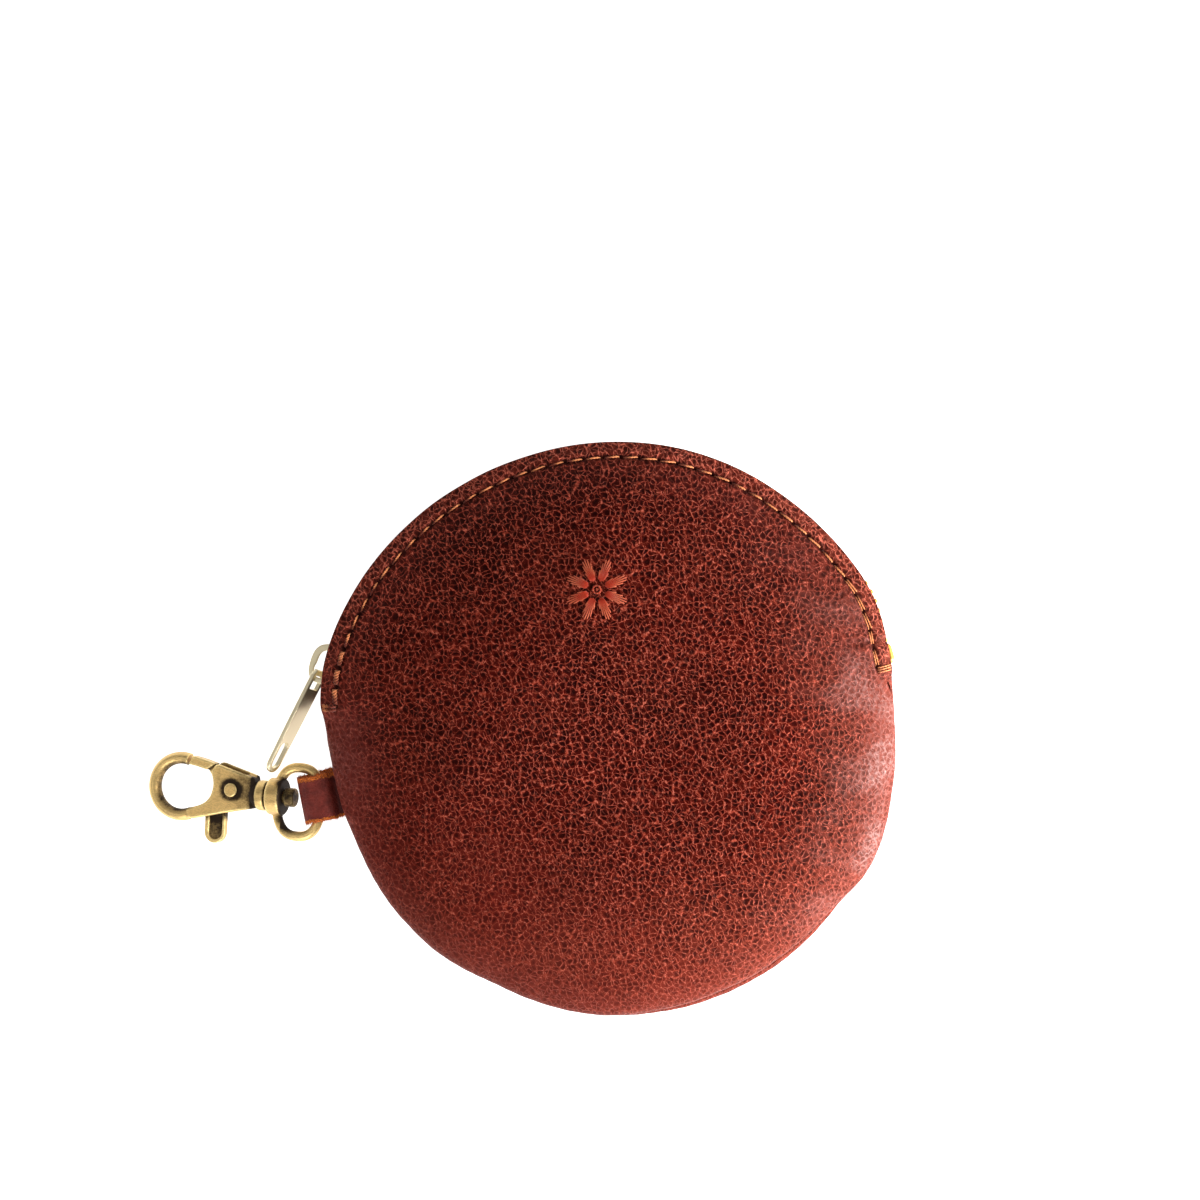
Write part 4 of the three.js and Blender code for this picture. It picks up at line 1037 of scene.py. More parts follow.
def finished_mesh(piece):
    """The mesh of a piece with its modifiers worked into it."""
    bpy.context.view_layer.update()
    graph = bpy.context.evaluated_depsgraph_get()
    return bpy.data.meshes.new_from_object(piece.evaluated_get(graph), depsgraph=graph)


def drop(*pieces):
    for piece in pieces:
        mesh = piece.data
        bpy.data.objects.remove(piece, do_unlink=True)
        if mesh.users == 0:
            bpy.data.meshes.remove(mesh)


def read(collection, key, width, kind=float):
    """What every item of a mesh's collection holds under a key, as rows of that width."""
    values = np.empty(len(collection) * width, dtype=kind)
    collection.foreach_get(key, values)
    return values.reshape(-1, width)


def worked(part, *steps):
    """A part after some modifiers, each a kind and its settings."""
    piece = add_object("part", new_mesh("part", *part))
    for kind, settings in steps:
        modifier = piece.modifiers.new(kind.lower(), kind)
        for key, value in settings.items():
            setattr(modifier, key, value)
    mesh = finished_mesh(piece)
    drop(piece)
    result = read(mesh.vertices, "co", 3), [tuple(face.vertices) for face in mesh.polygons]
    bpy.data.meshes.remove(mesh)
    return result


def fused(name, parts, cuts, place, voxel, rounding, material, keep=()):
    """One softly rounded solid from overlapping parts less the cuts, put in its place by a matrix in mm.

    The parts in keep are joined as they are after the cuts. Gives the piece, and its points in its own frame.
    """
    cutters = [add_object("cutter", new_mesh("cutter", *cut)) for cut in cuts]
    carve = [("BOOLEAN", {"operation": "DIFFERENCE", "solver": "EXACT", "object": cutter})
             for cutter in cutters]
    whole = joined([worked(part, *carve) for part in parts] + [worked(part) for part in keep])
    drop(*cutters)
    local, faces = worked(whole, ("REMESH", {"mode": "VOXEL", "voxel_size": voxel}),
                          ("SMOOTH", {"factor": 0.5, "iterations": rounding}))
    piece = make_mesh(name, put(local, place), faces, material)
    if place.determinant() < 0:
        piece.data.flip_normals()
    mark_wear(piece, voxel)
    return piece, local


def mark_wear(piece, reach):
    """Stores how far each point stands out, worn, or lies back, sunk, from the surface round it."""
    mesh = piece.data
    count = len(mesh.vertices)
    a, b = read(mesh.edges, "vertices", 2, np.int64).T
    points = read(mesh.vertices, "co", 3) / MM
    degree = np.maximum(np.bincount(a, minlength=count) + np.bincount(b, minlength=count), 1)

    def eased(values):
        total = np.bincount(a, weights=values[b], minlength=count)
        total = total + np.bincount(b, weights=values[a], minlength=count)
        return 0.5 * values + 0.5 * total / degree

    smooth = points.copy()
    for _ in range(12):
        smooth = np.stack([eased(smooth[:, k]) for k in range(3)], axis=1)
    stands = np.einsum("ij,ij->i", points - smooth, read(mesh.vertices, "normal", 3)) / reach
    for _ in range(2):
        stands = eased(stands)
    point_values(piece, "worn", np.clip(stands * 1.6, 0, 1))
    sunk = np.clip(-stands * 1.6, 0, 1)
    for _ in range(6):
        sunk = np.maximum(sunk, eased(sunk))
    point_values(piece, "sunk", sunk)


# Metal

def build_patina(name):
    """Bare metal on the edges, paler there both from wear and as a painted highlight, and dark tarnish in the
    hollows, with a soft uneven cloud between them.
    """
    group, start, end = new_group(
        name, {"Vector": VECTOR, "Worn": 0.0, "Sunk": 0.0, "Age": 0.5,
               "Bright": COLOR, "Dull": COLOR, "Tarnish": COLOR},
        {"Color": COLOR, "Mask": FLOAT})
    times, times_plus = products(group)
    cloud = noise(group, start["Vector"], 420.0, 4.0, 0.6)
    grit = noise(group, start["Vector"], 2600.0, 3.0, 0.7)
    uneven = times_plus(grit, 0.35, times(cloud, 0.65))
    dirt = times_plus(calc(group, "SUBTRACT", uneven, 0.5), 1.4, start["Sunk"])
    dirt = times(ramp(group, dirt, 0.05, 0.75), start["Age"])
    # Worn edges: bare brass, and partly a painted highlight along the bevels
    worn = ramp(group, calc(group, "ADD", start["Worn"], times(uneven, 0.3)), 0.1, 0.75)
    color = mixed(group, worn, start["Dull"], start["Bright"])
    fill(group, end, {"Color": mixed(group, dirt, color, start["Tarnish"]), "Mask": dirt})
    return group


def build_brushing(name):
    """Fine scratches that run one way. The vector is in metres, its X along the scratches."""
    group, start, end = new_group(name, {"Vector": VECTOR, "Length": 12.0}, {"Height": FLOAT})
    x, y, z = parted(group, start["Vector"])
    drawn = calc(group, "DIVIDE", x, start["Length"])
    narrow = add_node(group, "ShaderNodeCombineXYZ", {"X": drawn, "Y": y, "Z": z})
    fill(group, end, {"Height": noise(group, narrow.outputs[0], 7000.0, 3.0, 0.6)})
    return group


def metal_material(name, bright, dull, tarnish, age, rough, turn, brushed, metallic=0.8):
    """Brass with its tarnish. turn is the way that the brushing runs, in degrees from +X."""
    material, tree, shader = new_material(name)
    _, times_plus = products(tree)
    place = object_place(tree)
    brushed_way = {"Vector": place, "Rotation": (0, 0, -math.radians(turn))}
    turned_place = add_node(tree, "ShaderNodeMapping", brushed_way).outputs["Vector"]
    # The stored patina, which on the ring and the hook also holds painted shade
    sunk = calc(tree, "MAXIMUM", value_attribute(tree, "sunk"), value_attribute(tree, "patina_and_shade"))
    skin = use_group(tree, "patina", build_patina, {
        "Vector": place, "Worn": value_attribute(tree, "worn"), "Sunk": sunk, "Age": age,
        "Bright": bright, "Dull": dull, "Tarnish": tarnish})
    height = use_group(tree, "brushing", build_brushing, {"Vector": turned_place, "Length": 14.0})["Height"]
    tone = washed(tree, skin["Color"], (ramp(tree, height, 0.56, 0.4), 0.12 + 0.3 * brushed, tarnish))
    roughness = times_plus(height, 0.12, times_plus(skin["Mask"], 0.3, rough))
    fill(tree, shader, {"Base Color": tone, "Metallic": metallic, "Roughness": roughness,
                        "Normal": bumped(tree, height, brushed, 0.00004)})
    return material


# Pieces that repeat

def build_lay_out():
    """Sets one small piece on every point, turned by the point's way and up and stretched along its way."""
    tree = bpy.data.node_groups.new("lay_out", "GeometryNodeTree")
    for label, kind in (("Geometry", "Geometry"), ("Piece", "Object"), ("Thickness", "Float"),
                        ("Unevenness", "Float"), ("Seed", "Int"), ("Material", "Material")):
        tree.interface.new_socket(label, in_out="INPUT", socket_type="NodeSocket" + kind)
    tree.interface.new_socket("Geometry", in_out="OUTPUT", socket_type="NodeSocketGeometry")
    start = tree.nodes.new("NodeGroupInput").outputs
    end = tree.nodes.new("NodeGroupOutput")

    def named(label, kind="FLOAT"):
        node = add_node(tree, "GeometryNodeInputNamedAttribute", {"Name": label}, data_type=kind)
        return node.outputs["Attribute"]

    axes = {"Primary Axis": named("up", "FLOAT_VECTOR"), "Secondary Axis": named("way", "FLOAT_VECTOR")}
    turn = add_node(tree, "FunctionNodeAxesToRotation", axes, primary_axis="Z", secondary_axis="X")
    # Sockets 2 and 3 are the lowest and highest number, and output 1 is the number drawn
    span = {2: -1.0, 3: 1.0, "Seed": start["Seed"]}
    chance = add_node(tree, "FunctionNodeRandomValue", span, data_type="FLOAT")
    uneven = calc(tree, "MULTIPLY_ADD", chance.outputs[1], start["Unevenness"], 1.0)
    thick = calc(tree, "MULTIPLY", calc(tree, "MULTIPLY", uneven, start["Thickness"]), named("girth"))
    size = add_node(tree, "ShaderNodeCombineXYZ", {"X": named("stretch"), "Y": thick, "Z": thick})
    piece = add_node(tree, "GeometryNodeObjectInfo", {"Object": start["Piece"]})
    laid = add_node(tree, "GeometryNodeInstanceOnPoints", {
        "Points": start["Geometry"], "Instance": piece.outputs["Geometry"], "Rotation": turn.outputs[0],
        "Scale": size.outputs[0]})
    real = add_node(tree, "GeometryNodeRealizeInstances", {"Geometry": laid.outputs[0]})
    coated = add_node(tree, "GeometryNodeSetMaterial", {
        "Geometry": real.outputs[0], "Material": start["Material"]})
    fill(tree, end, {"Geometry": coated.outputs[0]})
    return tree


def lay_out(name, template, places, ways, ups, stretches, thickness, unevenness, seed, material, girths=1.0):
    """A plain mesh of the template set at every place, in mm. The template is used up."""
    tree = bpy.data.node_groups.get("lay_out") or build_lay_out()
    holder = add_object(name + "_places", new_mesh(name, np.asarray(places) * MM, []))
    for label, values in (("way", ways), ("up", ups)):
        point_values(holder, label, values, "FLOAT_VECTOR")
    for label, values in (("stretch", stretches), ("girth", girths)):
        point_values(holder, label, np.broadcast_to(values, len(places)))
    modifier = holder.modifiers.new("lay_out", "NODES")
    modifier.node_group = tree
    values = {"Piece": template, "Thickness": thickness, "Unevenness": unevenness, "Seed": seed,
              "Material": material}
    for socket in tree.interface.items_tree:
        if socket.in_out == "INPUT" and socket.name in values:
            modifier[socket.identifier] = values[socket.name]
    made = finished_mesh(holder)
    drop(holder, template)
    made.name = name
    made.shade_smooth()
    for label in ("way", "up", "stretch", "girth"):
        if label in made.attributes:
            made.attributes.remove(made.attributes[label])
    return add_object(name, made)


# The zip

class ZipSettings(bpy.types.PropertyGroup):
    """The zip's brass and its woven tape."""
    bright: color_property("Bright brass", "Colour of the zip's brass on its edges", linear(255, 226, 136))
    dull: color_property("Brass", "Colour of the zip's brass", linear(238, 200, 104))
    tooth: color_property("Tooth brass", "Colour of the teeth and the stop", linear(236, 170, 78))
    tarnish: color_property("Tarnish", "Colour in the brass's hollows", linear(96, 78, 40))
    tape: color_property("Tape", "Colour of the woven tape", linear(70, 26, 18))
    tape_light: color_property("Tape highlight", "Colour of the tape's raised threads", linear(112, 50, 34))


def chain_frame(angle):
    """The frame on the chain at an angle: X along it, Y out from the pouch and Z across the zip."""
    return standing_frame(angle, float(chain_radius(angle)), angle - 90)


def tooth_template():
    """One brass tooth: X along the chain, Z out of it, its root clamped on the tape at -Y."""
    sections = []
    for along, half_x, half_z in TOOTH_TABLE:
        corner = 0.3 * half_x
        ring = []
        for sx, sz in ((1, 1), (-1, 1), (-1, -1), (1, -1)):
            near = (sx * half_x, along, sz * (half_z - corner))
            far = (sx * (half_x - corner), along, sz * half_z)
            ring += [near, far] if sx * sz > 0 else [far, near]
        sections.append(ring)
    return make_mesh("tooth", *swept(sections, flip=True))


def tape_line(side, angle):
    """The tape's section at an angle, from the teeth in under the lip: pairs of radius and height."""
    depth = WALL + 0.3 + TAPE_THICKNESS / 2
    chain = float(chain_radius(angle))
    bend = min(chain - 1.6, float(outline_radius(angle)) - depth - 0.3)
    radius, height = panel_section(side, np.full(140, angle), np.linspace(0.3, 0.999, 140))
    way = unit(np.stack([np.gradient(radius), np.gradient(height)], axis=1))
    under = np.column_stack([radius + side * depth * way[:, 1], height - side * depth * way[:, 0]])
    under = under[np.argsort(under[:, 0])]
    reach = [bend, chain - 3.4, chain - 5, chain - TAPE_DEPTH]
    upright = [(chain - back, SEAM_HEIGHT + side * rise) for back, rise in ((0, 1.7), (0, 2.5), (0.15, 3.15))]
    return np.array(upright + list(zip(reach, np.interp(reach, *under.T))))


def build_tape(name, side, material):
    """The woven tape of one side, from the clamped roots of the teeth to well under the lip."""
    inset = TAPE_INSET * DEGREES_PER_MM
    sections, coordinates = [], []
    for angle in np.linspace(ZIP_RIGHT + inset, ZIP_LEFT - inset, 260):
        line = tape_line(side, angle)
        travelled = travelled_along(line)
        fine = np.linspace(0, travelled[-1], 15)
        line = relax(spaced(line, travelled, fine), 2)
        across = beside(line) * TAPE_THICKNESS / 2
        radius, height = np.concatenate([line + across, (line - across)[::-1]]).T
        points = polar(angle, radius, height)
        if side > 0:
            press_hollows(points, radius)
        sections.append(points)
        coordinates += [(math.radians(angle) * POUCH_RADIUS, reach) for reach in (*fine, *fine[::-1])]
    piece = make_mesh(name, *swept(sections, flip=side < 0), material)
    uv_from_points(piece, "weave", coordinates)
    return piece


def build_herringbone(name):
    """A herringbone weave. The vector is in millimetres, X along the tape."""
    group, start, end = new_group(
        name, {"Vector": VECTOR, "Threads": 2.4}, {"Thread": FLOAT, "Height": FLOAT})
    times, times_plus = products(group)
    along, reach, _ = parted(group, start["Vector"])
    slant = times(calc(group, "ADD", along, calc(group, "PINGPONG", reach, 1.1)), start["Threads"])
    across = calc(group, "PINGPONG", times(reach, 3.2), 0.5)
    height = times_plus(across, 0.5, times(calc(group, "PINGPONG", slant, 0.5), 1.5))
    fill(group, end, {"Thread": ramp(group, height, 0.25, 0.8), "Height": height})
    return group


def tape_material(settings):
    material, tree, shader = new_material("woven_tape")
    place = uv_place(tree, "weave")
    weave = use_group(tree, "herringbone", build_herringbone, {"Vector": place, "Threads": 2.2})
    fill(tree, shader, {
        "Base Color": mixed(tree, weave["Thread"], settings.tape, settings.tape_light), "Roughness": 0.85,
        "Sheen Weight": 0.3, "Normal": bumped(tree, weave["Height"], 0.8, 0.00015)})
    return material


def zip_brass(settings):
    """The pale brass of the slider and its pull."""
    return bpy.data.materials.get("zip_brass") or metal_material(
        "zip_brass", settings.bright, settings.dull, settings.tarnish, 0.6, 0.36, 60, 0.3, 0.6)


def tooth_brass(settings):
    """The yellower brass of the teeth and the stop."""
    return bpy.data.materials.get("tooth_brass") or metal_material(
        "tooth_brass", settings.tooth, settings.tooth, settings.tarnish, 0.35, 0.34, 0, 0.15)


class POUCH_OT_tape(bpy.types.Operator):
    """Makes the zip's two woven tapes"""
    bl_idname = "pouch.tape"
    bl_label = "Zip Tapes"

    def execute(self, context):
        material = tape_material(context.scene.pouch_zip)
        for side, name in SIDES:
            settle(build_tape(f"{name}_tape", side, material), "pouch", "zip_tape", f"zip_tape_{name}")
        return {"FINISHED"}


class POUCH_OT_teeth(bpy.types.Operator):
    """Makes the zip's two rows of brass teeth"""
    bl_idname = "pouch.teeth"
    bl_label = "Zip Teeth"

    def execute(self, context):
        material = tooth_brass(context.scene.pouch_zip)
        for side, name in SIDES:
            offset = 0.38 if side > 0 else TOOTH_PITCH / 2 + 0.38
            line = np.arange(CHAIN_START + offset * DEGREES_PER_MM, CHAIN_END, 0.02)
            travelled = travelled_along(polar(line, chain_radius(line), 0.0))
            angles = np.interp(np.arange(0, travelled[-1], TOOTH_PITCH), travelled, line)
            deeper = 0.22 * (1 - smoothstep(angles, 52, 70))
            places = polar(angles, chain_radius(angles) - deeper, SEAM_HEIGHT)
            ups = polar(angles, 1.0, 0.0)
            ways = polar(angles - 90 * side, 1.0, 0.0)
            piece = lay_out(
                f"{name}_teeth", tooth_template(), places, ways, ups, 1.0, 1.0, 0.015, 7, material)
            settle(piece, "pouch", "zip_brass", f"zip_teeth_{name}")
        return {"FINISHED"}


def build_slider(settings):
    """The slider: two flanged plates joined by a wedge, and the arch that carries the pull."""
    half = SLIDER_LENGTH / 2
    side_line = [(along * half, across * SLIDER_HALF_WIDTH) for along, across in SLIDER_TABLE]
    outline = smooth_outline(side_line + [(x, -y) for x, y in reversed(side_line)])
    flange = SLIDER_HALF_WIDTH * 0.86
    parts = []
    for side in (1, -1):
        low, high = sorted((side * SLIDER_INSIDE, side * (SLIDER_INSIDE + SLIDER_PLATE)))
        parts.append(stood_up(plate_between(outline, low, high)))
        low, high = sorted((side * 0.55, side * (SLIDER_INSIDE + 0.05)))
        for edge in (1, -1):
            near, far = sorted((edge * (flange - 0.55), edge * flange))
            parts.append(block((-0.35 * half, low, near), (0.8 * half, high, far)))
    parts.append(stood_up(plate(stadium(-half + 1.35, -half + 1.75, 0.85), SLIDER_INSIDE * 2 + 0.2)))
    outer = smooth_outline([(along * half, rise * ARCH_HEIGHT) for along, rise in ARCH_TABLE], closed=False)
    band = ARCH_BAND - 0.3 * smoothstep(-outer[:, 0], -0.4, 1.2)
    inner = outer + beside(outer) * band[:, None]
    arch = plate(np.concatenate([outer, inner[::-1]]), ARCH_WIDTH)
    parts.append(moved(arch, Matrix.Translation((0, SLIDER_INSIDE + SLIDER_PLATE, 0))))
    return fused("zip_slider_brass", parts, [], chain_frame(SLIDER_ANGLE), FINE, 3, zip_brass(settings))[0]


def build_pull(settings):
    """The long flat pull with the eye that rides on the arch and the slot near its round tip."""
    half = PULL_HALF_WIDTH
    side_line = [(-PULL_BAR, half * 0.72), (PULL_BAR, half), (PULL_LENGTH / 2, half)]
    round_tip = arc((PULL_LENGTH - PULL_TIP, 0), PULL_TIP, 90, -90, 22)
    outline = np.concatenate([side_line, round_tip, [(x, -y) for x, y in reversed(side_line)]])
    slot_end = PULL_LENGTH - SLOT_FROM_TIP
    cuts = [block((PULL_BAR, -EYE_HALF_WIDTH, -2), (PULL_BAR + EYE_LENGTH, EYE_HALF_WIDTH, 2)),
            plate(stadium(slot_end - SLOT_LENGTH, slot_end, SLOT_HALF_WIDTH), 4)]
    # It is swung out from the chain and rolled a little
    swing, roll = math.radians(PULL_SWING), math.radians(PULL_ROLL)
    along = Vector((-math.cos(swing), math.sin(swing), 0))
    across = Vector((math.sin(swing) * math.sin(roll), math.cos(swing) * math.sin(roll), math.cos(roll)))
    turn = Matrix((along, across, along.cross(across))).transposed().to_4x4()
    hung = Matrix.Translation((-2.0, SLIDER_INSIDE + SLIDER_PLATE + 1.6, 0)) @ turn
    place = chain_frame(SLIDER_ANGLE) @ hung
    whole = plate(outline, PULL_THICKNESS, 0.16)
    return fused("zip_pull_brass", [whole], cuts, place, FINE, 3, zip_brass(settings))[0]


def build_stop(settings):
    """The block that ends the teeth, clamped on both tapes, with the grooves of its folded ends."""
    half, end = STOP_LENGTH / 2, 1.1
    body = plate(stadium(-half + end, half - end, end), 3.0, 0.5)
    cuts = [block((-half - 1, low, -0.12), (half + 1, high, 0.12)) for low, high in ((0.85, 2), (-2, -0.85))]
    place = chain_frame(STOP_START + half * DEGREES_PER_MM)
    return fused("zip_stop_brass", [body], cuts, place, FINE, 5, tooth_brass(settings))[0]


class POUCH_OT_slider(bpy.types.Operator):
    """Makes the zip's slider, its pull and the stop"""
    bl_idname = "pouch.slider"
    bl_label = "Zip Slider"

    def execute(self, context):
        settings = context.scene.pouch_zip
        settle(build_slider(settings), "pouch", "zip_brass", "zip_slider")
        settle(build_pull(settings), "pull", "zip_brass", "zip_pull")
        settle(build_stop(settings), "pouch", "zip_brass", "zip_bottom_stop")
        return {"FINISHED"}


# The leather loop

class LoopSettings(bpy.types.PropertyGroup):
    """The loop's smooth hide and its cut edges."""
    loop_color: color_property("Loop hide", "Colour of the loop's face", linear(84, 24, 17))
    loop_light: color_property("Loop clouds", "Colour of the face's lighter clouds", linear(112, 37, 28))
    ridge_color: color_property("Loop ridges", "Colour of the fine grain on the loop", linear(150, 68, 56))
    pit_and_shade_color: color_property("Loop shade", "Colour where the loop runs in under the lips", linear(38, 10, 9))
    raw_color: color_property("Raw edge", "Colour of the cut edge's fibres", linear(230, 122, 50))
    raw_dark: color_property("Raw edge shade", "Colour between the fibres", linear(112, 46, 22))


def loop_frame():
    """The loop's own frame: X away from the pouch, Z up, its middle where the clasp's ring lies in it."""
    return standing_frame(LOOP_ANGLE, float(outline_radius(LOOP_ANGLE)) + LOOP_OUT, LOOP_YAW)


def loop_line():
    """The middle of the folded strip seen from its side, from one tail to the other: pairs of X and Z."""
    run = np.linspace(-LOOP_TAIL, 1.4, 44)
    lift = LOOP_LEATHER / 2 + 0.02 + LOOP_SLACK * smoothstep(run, -2.9, -0.4)
    upper = np.stack([run, lift], axis=1)
    fold = arc((LOOP_REACH - LOOP_SLACK - LOOP_LEATHER, 0), LOOP_SLACK + LOOP_LEATHER / 2, 86, -86, 30)
    return relax(np.concatenate([upper, fold, upper[::-1] * np.array([1, -1])]), 3)


def strip_section():
    """The points round the strip's section: pairs across its width and through its thickness."""
    half, thick, corner = LOOP_WIDTH / 2, LOOP_LEATHER / 2, LOOP_CORNER
    across = np.linspace(-half + corner, half - corner, 15)
    right = [(half - corner + corner * math.sin(t), thick - corner + corner * math.cos(t))
             for t in np.linspace(0.3, math.pi / 2, 4)]
    right += [(half, z) for z in np.linspace(thick - corner, -thick + corner, 4)[1:-1]]
    right += [(b, -z) for b, z in right[3::-1]]
    top = [(b, thick) for b in across]
    return np.array(top + right + [(-b, -z) for b, z in top + right])


def loop_material(settings):
    """The same hide, rubbed smooth, with a raw orange edge."""
    material, tree, shader = new_material("loop_hide")
    times, times_plus = products(tree)
    place = uv_place(tree, "hide")
    grain = use_group(tree, "pebble_grain", build_pebble_grain, {
        "Vector": place, "Cell Size": 0.62, "Wander": 0.4, "Ridge Width": 0.2})
    blotch = noise(tree, place, 0.5, 5.0, 0.65)
    fibre = noise(tree, place, 3.4, 6.0, 0.75)
    color = mixed(tree, ramp(tree, blotch, 0.3, 0.72), settings.loop_color, settings.loop_light)
    color = washed(tree, color, (grain["Ridge"], 0.22, settings.ridge_color))
    color = mixed(tree, value_attribute(tree, "shade"), color, settings.pit_and_shade_color)
    edge = mixed(tree, ramp(tree, fibre, 0.36, 0.64), settings.raw_dark, settings.raw_color)
    ragged = times_plus(calc(tree, "SUBTRACT", fibre, 0.5), 1.6, value_attribute(tree, "raw"))
    raw = ramp(tree, ragged, 0.35, 0.62)
    lift = times_plus(fibre, times_plus(raw, 2.2, 0.3), times(grain["Height"], 0.3))
    fill(tree, shader, {"Base Color": mixed(tree, raw, color, edge), "Roughness": times_plus(raw, 0.35, 0.55),
                        "Specular IOR Level": 0.2, "Normal": bumped(tree, lift, 0.8, 0.00022)})
    return material


def build_loop(settings):
    """The strip of hide that folds round the clasp's ring and runs in between the panels."""
    line = loop_line()
    out = beside(line)
    section = strip_section()
    place = loop_frame()
    travelled = travelled_along(line)
    width, thick = section.T
    # The raw edge toward the pull shows broader
    band = LOOP_WIDTH / 2 - np.where(width < 0, 1.15, 0.7)
    raw = smoothstep(np.abs(width), band, band + 0.45)
    sections, coordinates, shade = [], [], []
    for (x, z), (out_x, out_z), gone in zip(line, out, travelled):
        lower = smoothstep(gone, travelled[-1] * 0.5, travelled[-1] * 0.72)
        wobble = 0.07 * math.sin(gone * 1.9) + 0.05 * math.sin(gone * 4.3 + 1)
        across = width * (1 + 0.012 * math.sin(gone * 0.9)) - 0.55 * lower + wobble
        through = np.maximum(thick, -LOOP_LEATHER * 0.35)
        through = through + 0.05 * np.cos(width * 0.5) * (1 + math.sin(gone * 0.8)) / 2
        sections.append(put(np.column_stack([x + out_x * through, across, z + out_z * through]), place))
        coordinates.append(np.column_stack([np.full(len(section), gone), width + thick + 40]))
        shade += [0.75 * smoothstep(-x, 1.2, 3.4) + 0.33 * lower] * len(section)
    piece = make_mesh("loop_strip", *swept(sections), loop_material(settings))
    uv_from_points(piece, "hide", np.concatenate(coordinates))
    point_values(piece, "raw", np.tile(raw, len(line)))
    point_values(piece, "shade", np.clip(shade, 0, 1))
    return piece, np.array(sections)


def fibre_template():
    """One short curled hair of cut hide, a millimetre long along X."""
    turn = round_turn(FIBRE_SIDES)
    sections = []
    for t in np.linspace(0, 1, FIBRE_STATIONS):
        radius = 0.045 * (1 - 0.75 * t)
        sections.append(np.column_stack([np.full(FIBRE_SIDES, t), 0.22 * t * t + radius * np.cos(turn),
                                         0.1 * math.sin(2.4 * t) + radius * np.sin(turn)]))
    return make_mesh("fibre", *swept(sections, flip=True))


def thread_material(name, color, light, rough):
    """Thread or loose fibre: darker where its lit share is low, with fine strands along it."""
    material, tree, shader = new_material(name)
    times, times_plus = products(tree)
    place = object_place(tree)
    strand = noise(tree, place, 5200.0, 3.0, 0.6)
    cloud = noise(tree, place, 350.0, 2.0)
    lit = times_plus(calc(tree, "SUBTRACT", cloud, 0.5), 1.3, value_attribute(tree, "lit"))
    lit = times_plus(calc(tree, "SUBTRACT", strand, 0.5), 0.7, lit)
    # Paler toward the pouch's right, and darker at the far left
    across = parted(tree, place)["X"]
    lit = calc(tree, "ADD", lit, ramp(tree, across, 0.03, 0.045, 0.0, 0.3))
    lit = times(ramp(tree, lit, 0.1, 0.95), ramp(tree, across, -0.0545, -0.05, 0.55, 1.0))
    fill(tree, shader, {
        "Base Color": mixed(tree, lit, color, light), "Roughness": rough, "Specular IOR Level": 0.15,
        "Sheen Weight": 0.1, "Normal": bumped(tree, strand, 0.6, 0.00005)})
    return material


def build_fuzz(settings, sections):
    """Loose hairs along the loop's two cut edges."""
    rng = np.random.default_rng(5)
    width, thick = strip_section().T
    edge = np.flatnonzero((np.abs(width) > LOOP_WIDTH / 2 - 0.14) & (thick > -0.2))
    middle = sections.mean(axis=1)
    places, ways, ups = [], [], []
    for _ in range(900):
        station = rng.uniform(14, len(sections) - 15)
        low = int(station)
        corner = rng.choice(edge)
        start, end = sections[low, corner], sections[low + 1, corner]
        place = lerp(start, end, station - low)
        away = unit(place - lerp(middle[low], middle[low + 1], station - low))
        way = unit(away + unit(end - start) * rng.normal(0, 0.8) + rng.normal(0, 0.35, 3))
        places.append(place - away * 0.05)
        ways.append(way)
        ups.append(unit(np.cross(way, unit(rng.normal(0, 1, 3)))))
    stretches = rng.uniform(0.2, 0.6, len(places))
    fuzz = thread_material("raw_fibre", settings.raw_dark, settings.raw_color, 0.9)
    piece = lay_out("loop_fuzz", fibre_template(), places, ways, ups, stretches, 0.75, 0.3, 3, fuzz)
    on_fibre = FIBRE_STATIONS * FIBRE_SIDES
    point_values(piece, "lit", rng.uniform(0.3, 1, len(piece.data.vertices) // on_fibre).repeat(on_fibre))
    return piece


class POUCH_OT_loop(bpy.types.Operator):
    """Makes the folded leather loop with its raw edges"""
    bl_idname = "pouch.loop"
    bl_label = "Leather Loop"

    def execute(self, context):
        settings = context.scene.pouch_loop
        strip, sections = build_loop(settings)
        settle(strip, "pouch", "loop_leather", "leather_loop")
        settle(build_fuzz(settings, sections), "pouch", "loop_leather")
        return {"FINISHED"}


# The clasp

class ClaspSettings(bpy.types.PropertyGroup):
    """The clasp's aged brass."""
    bright: color_property("Rubbed brass", "Colour of the brass on its edges", linear(252, 222, 152))
    dull: color_property("Aged brass", "Colour of the clasp's faces", linear(214, 178, 114))
    # Also painted shade on the ring's lower side and on the hook's body toward the neck.
    tarnish: color_property("Patina", "Colour in the clasp's hollows", linear(46, 34, 22))
    age: bpy.props.FloatProperty(name="Age", description="How dark the patina is", default=1.0, min=0, max=1,
                                 subtype="FACTOR")


def clasp_frame():
    """X from the ring's far bar to the hook's tip. The gate's side, Y, is turned toward the zip."""
    height = SEAM_HEIGHT - 0.1
    # The pitch that lays the bow's end just over the floor
    reach = BOW_CENTRE[0] + BOW_RADIUS + BOW_WIRE * 0.2
    depth = HOOK_THICKNESS / 2 * 0.94
    pitch = math.asin((height - 0.05) / math.hypot(reach, depth)) - math.atan2(depth, reach)
    place = loop_frame() @ Vector((0.51, 0.53, 0))
    place.z = height
    turn = Matrix.Rotation(math.radians(177), 4, "Z") @ Matrix.Rotation(pitch, 4, "Y")
    return Matrix.Translation(place) @ turn @ Matrix.Scale(-1, 4, (0, 1, 0))


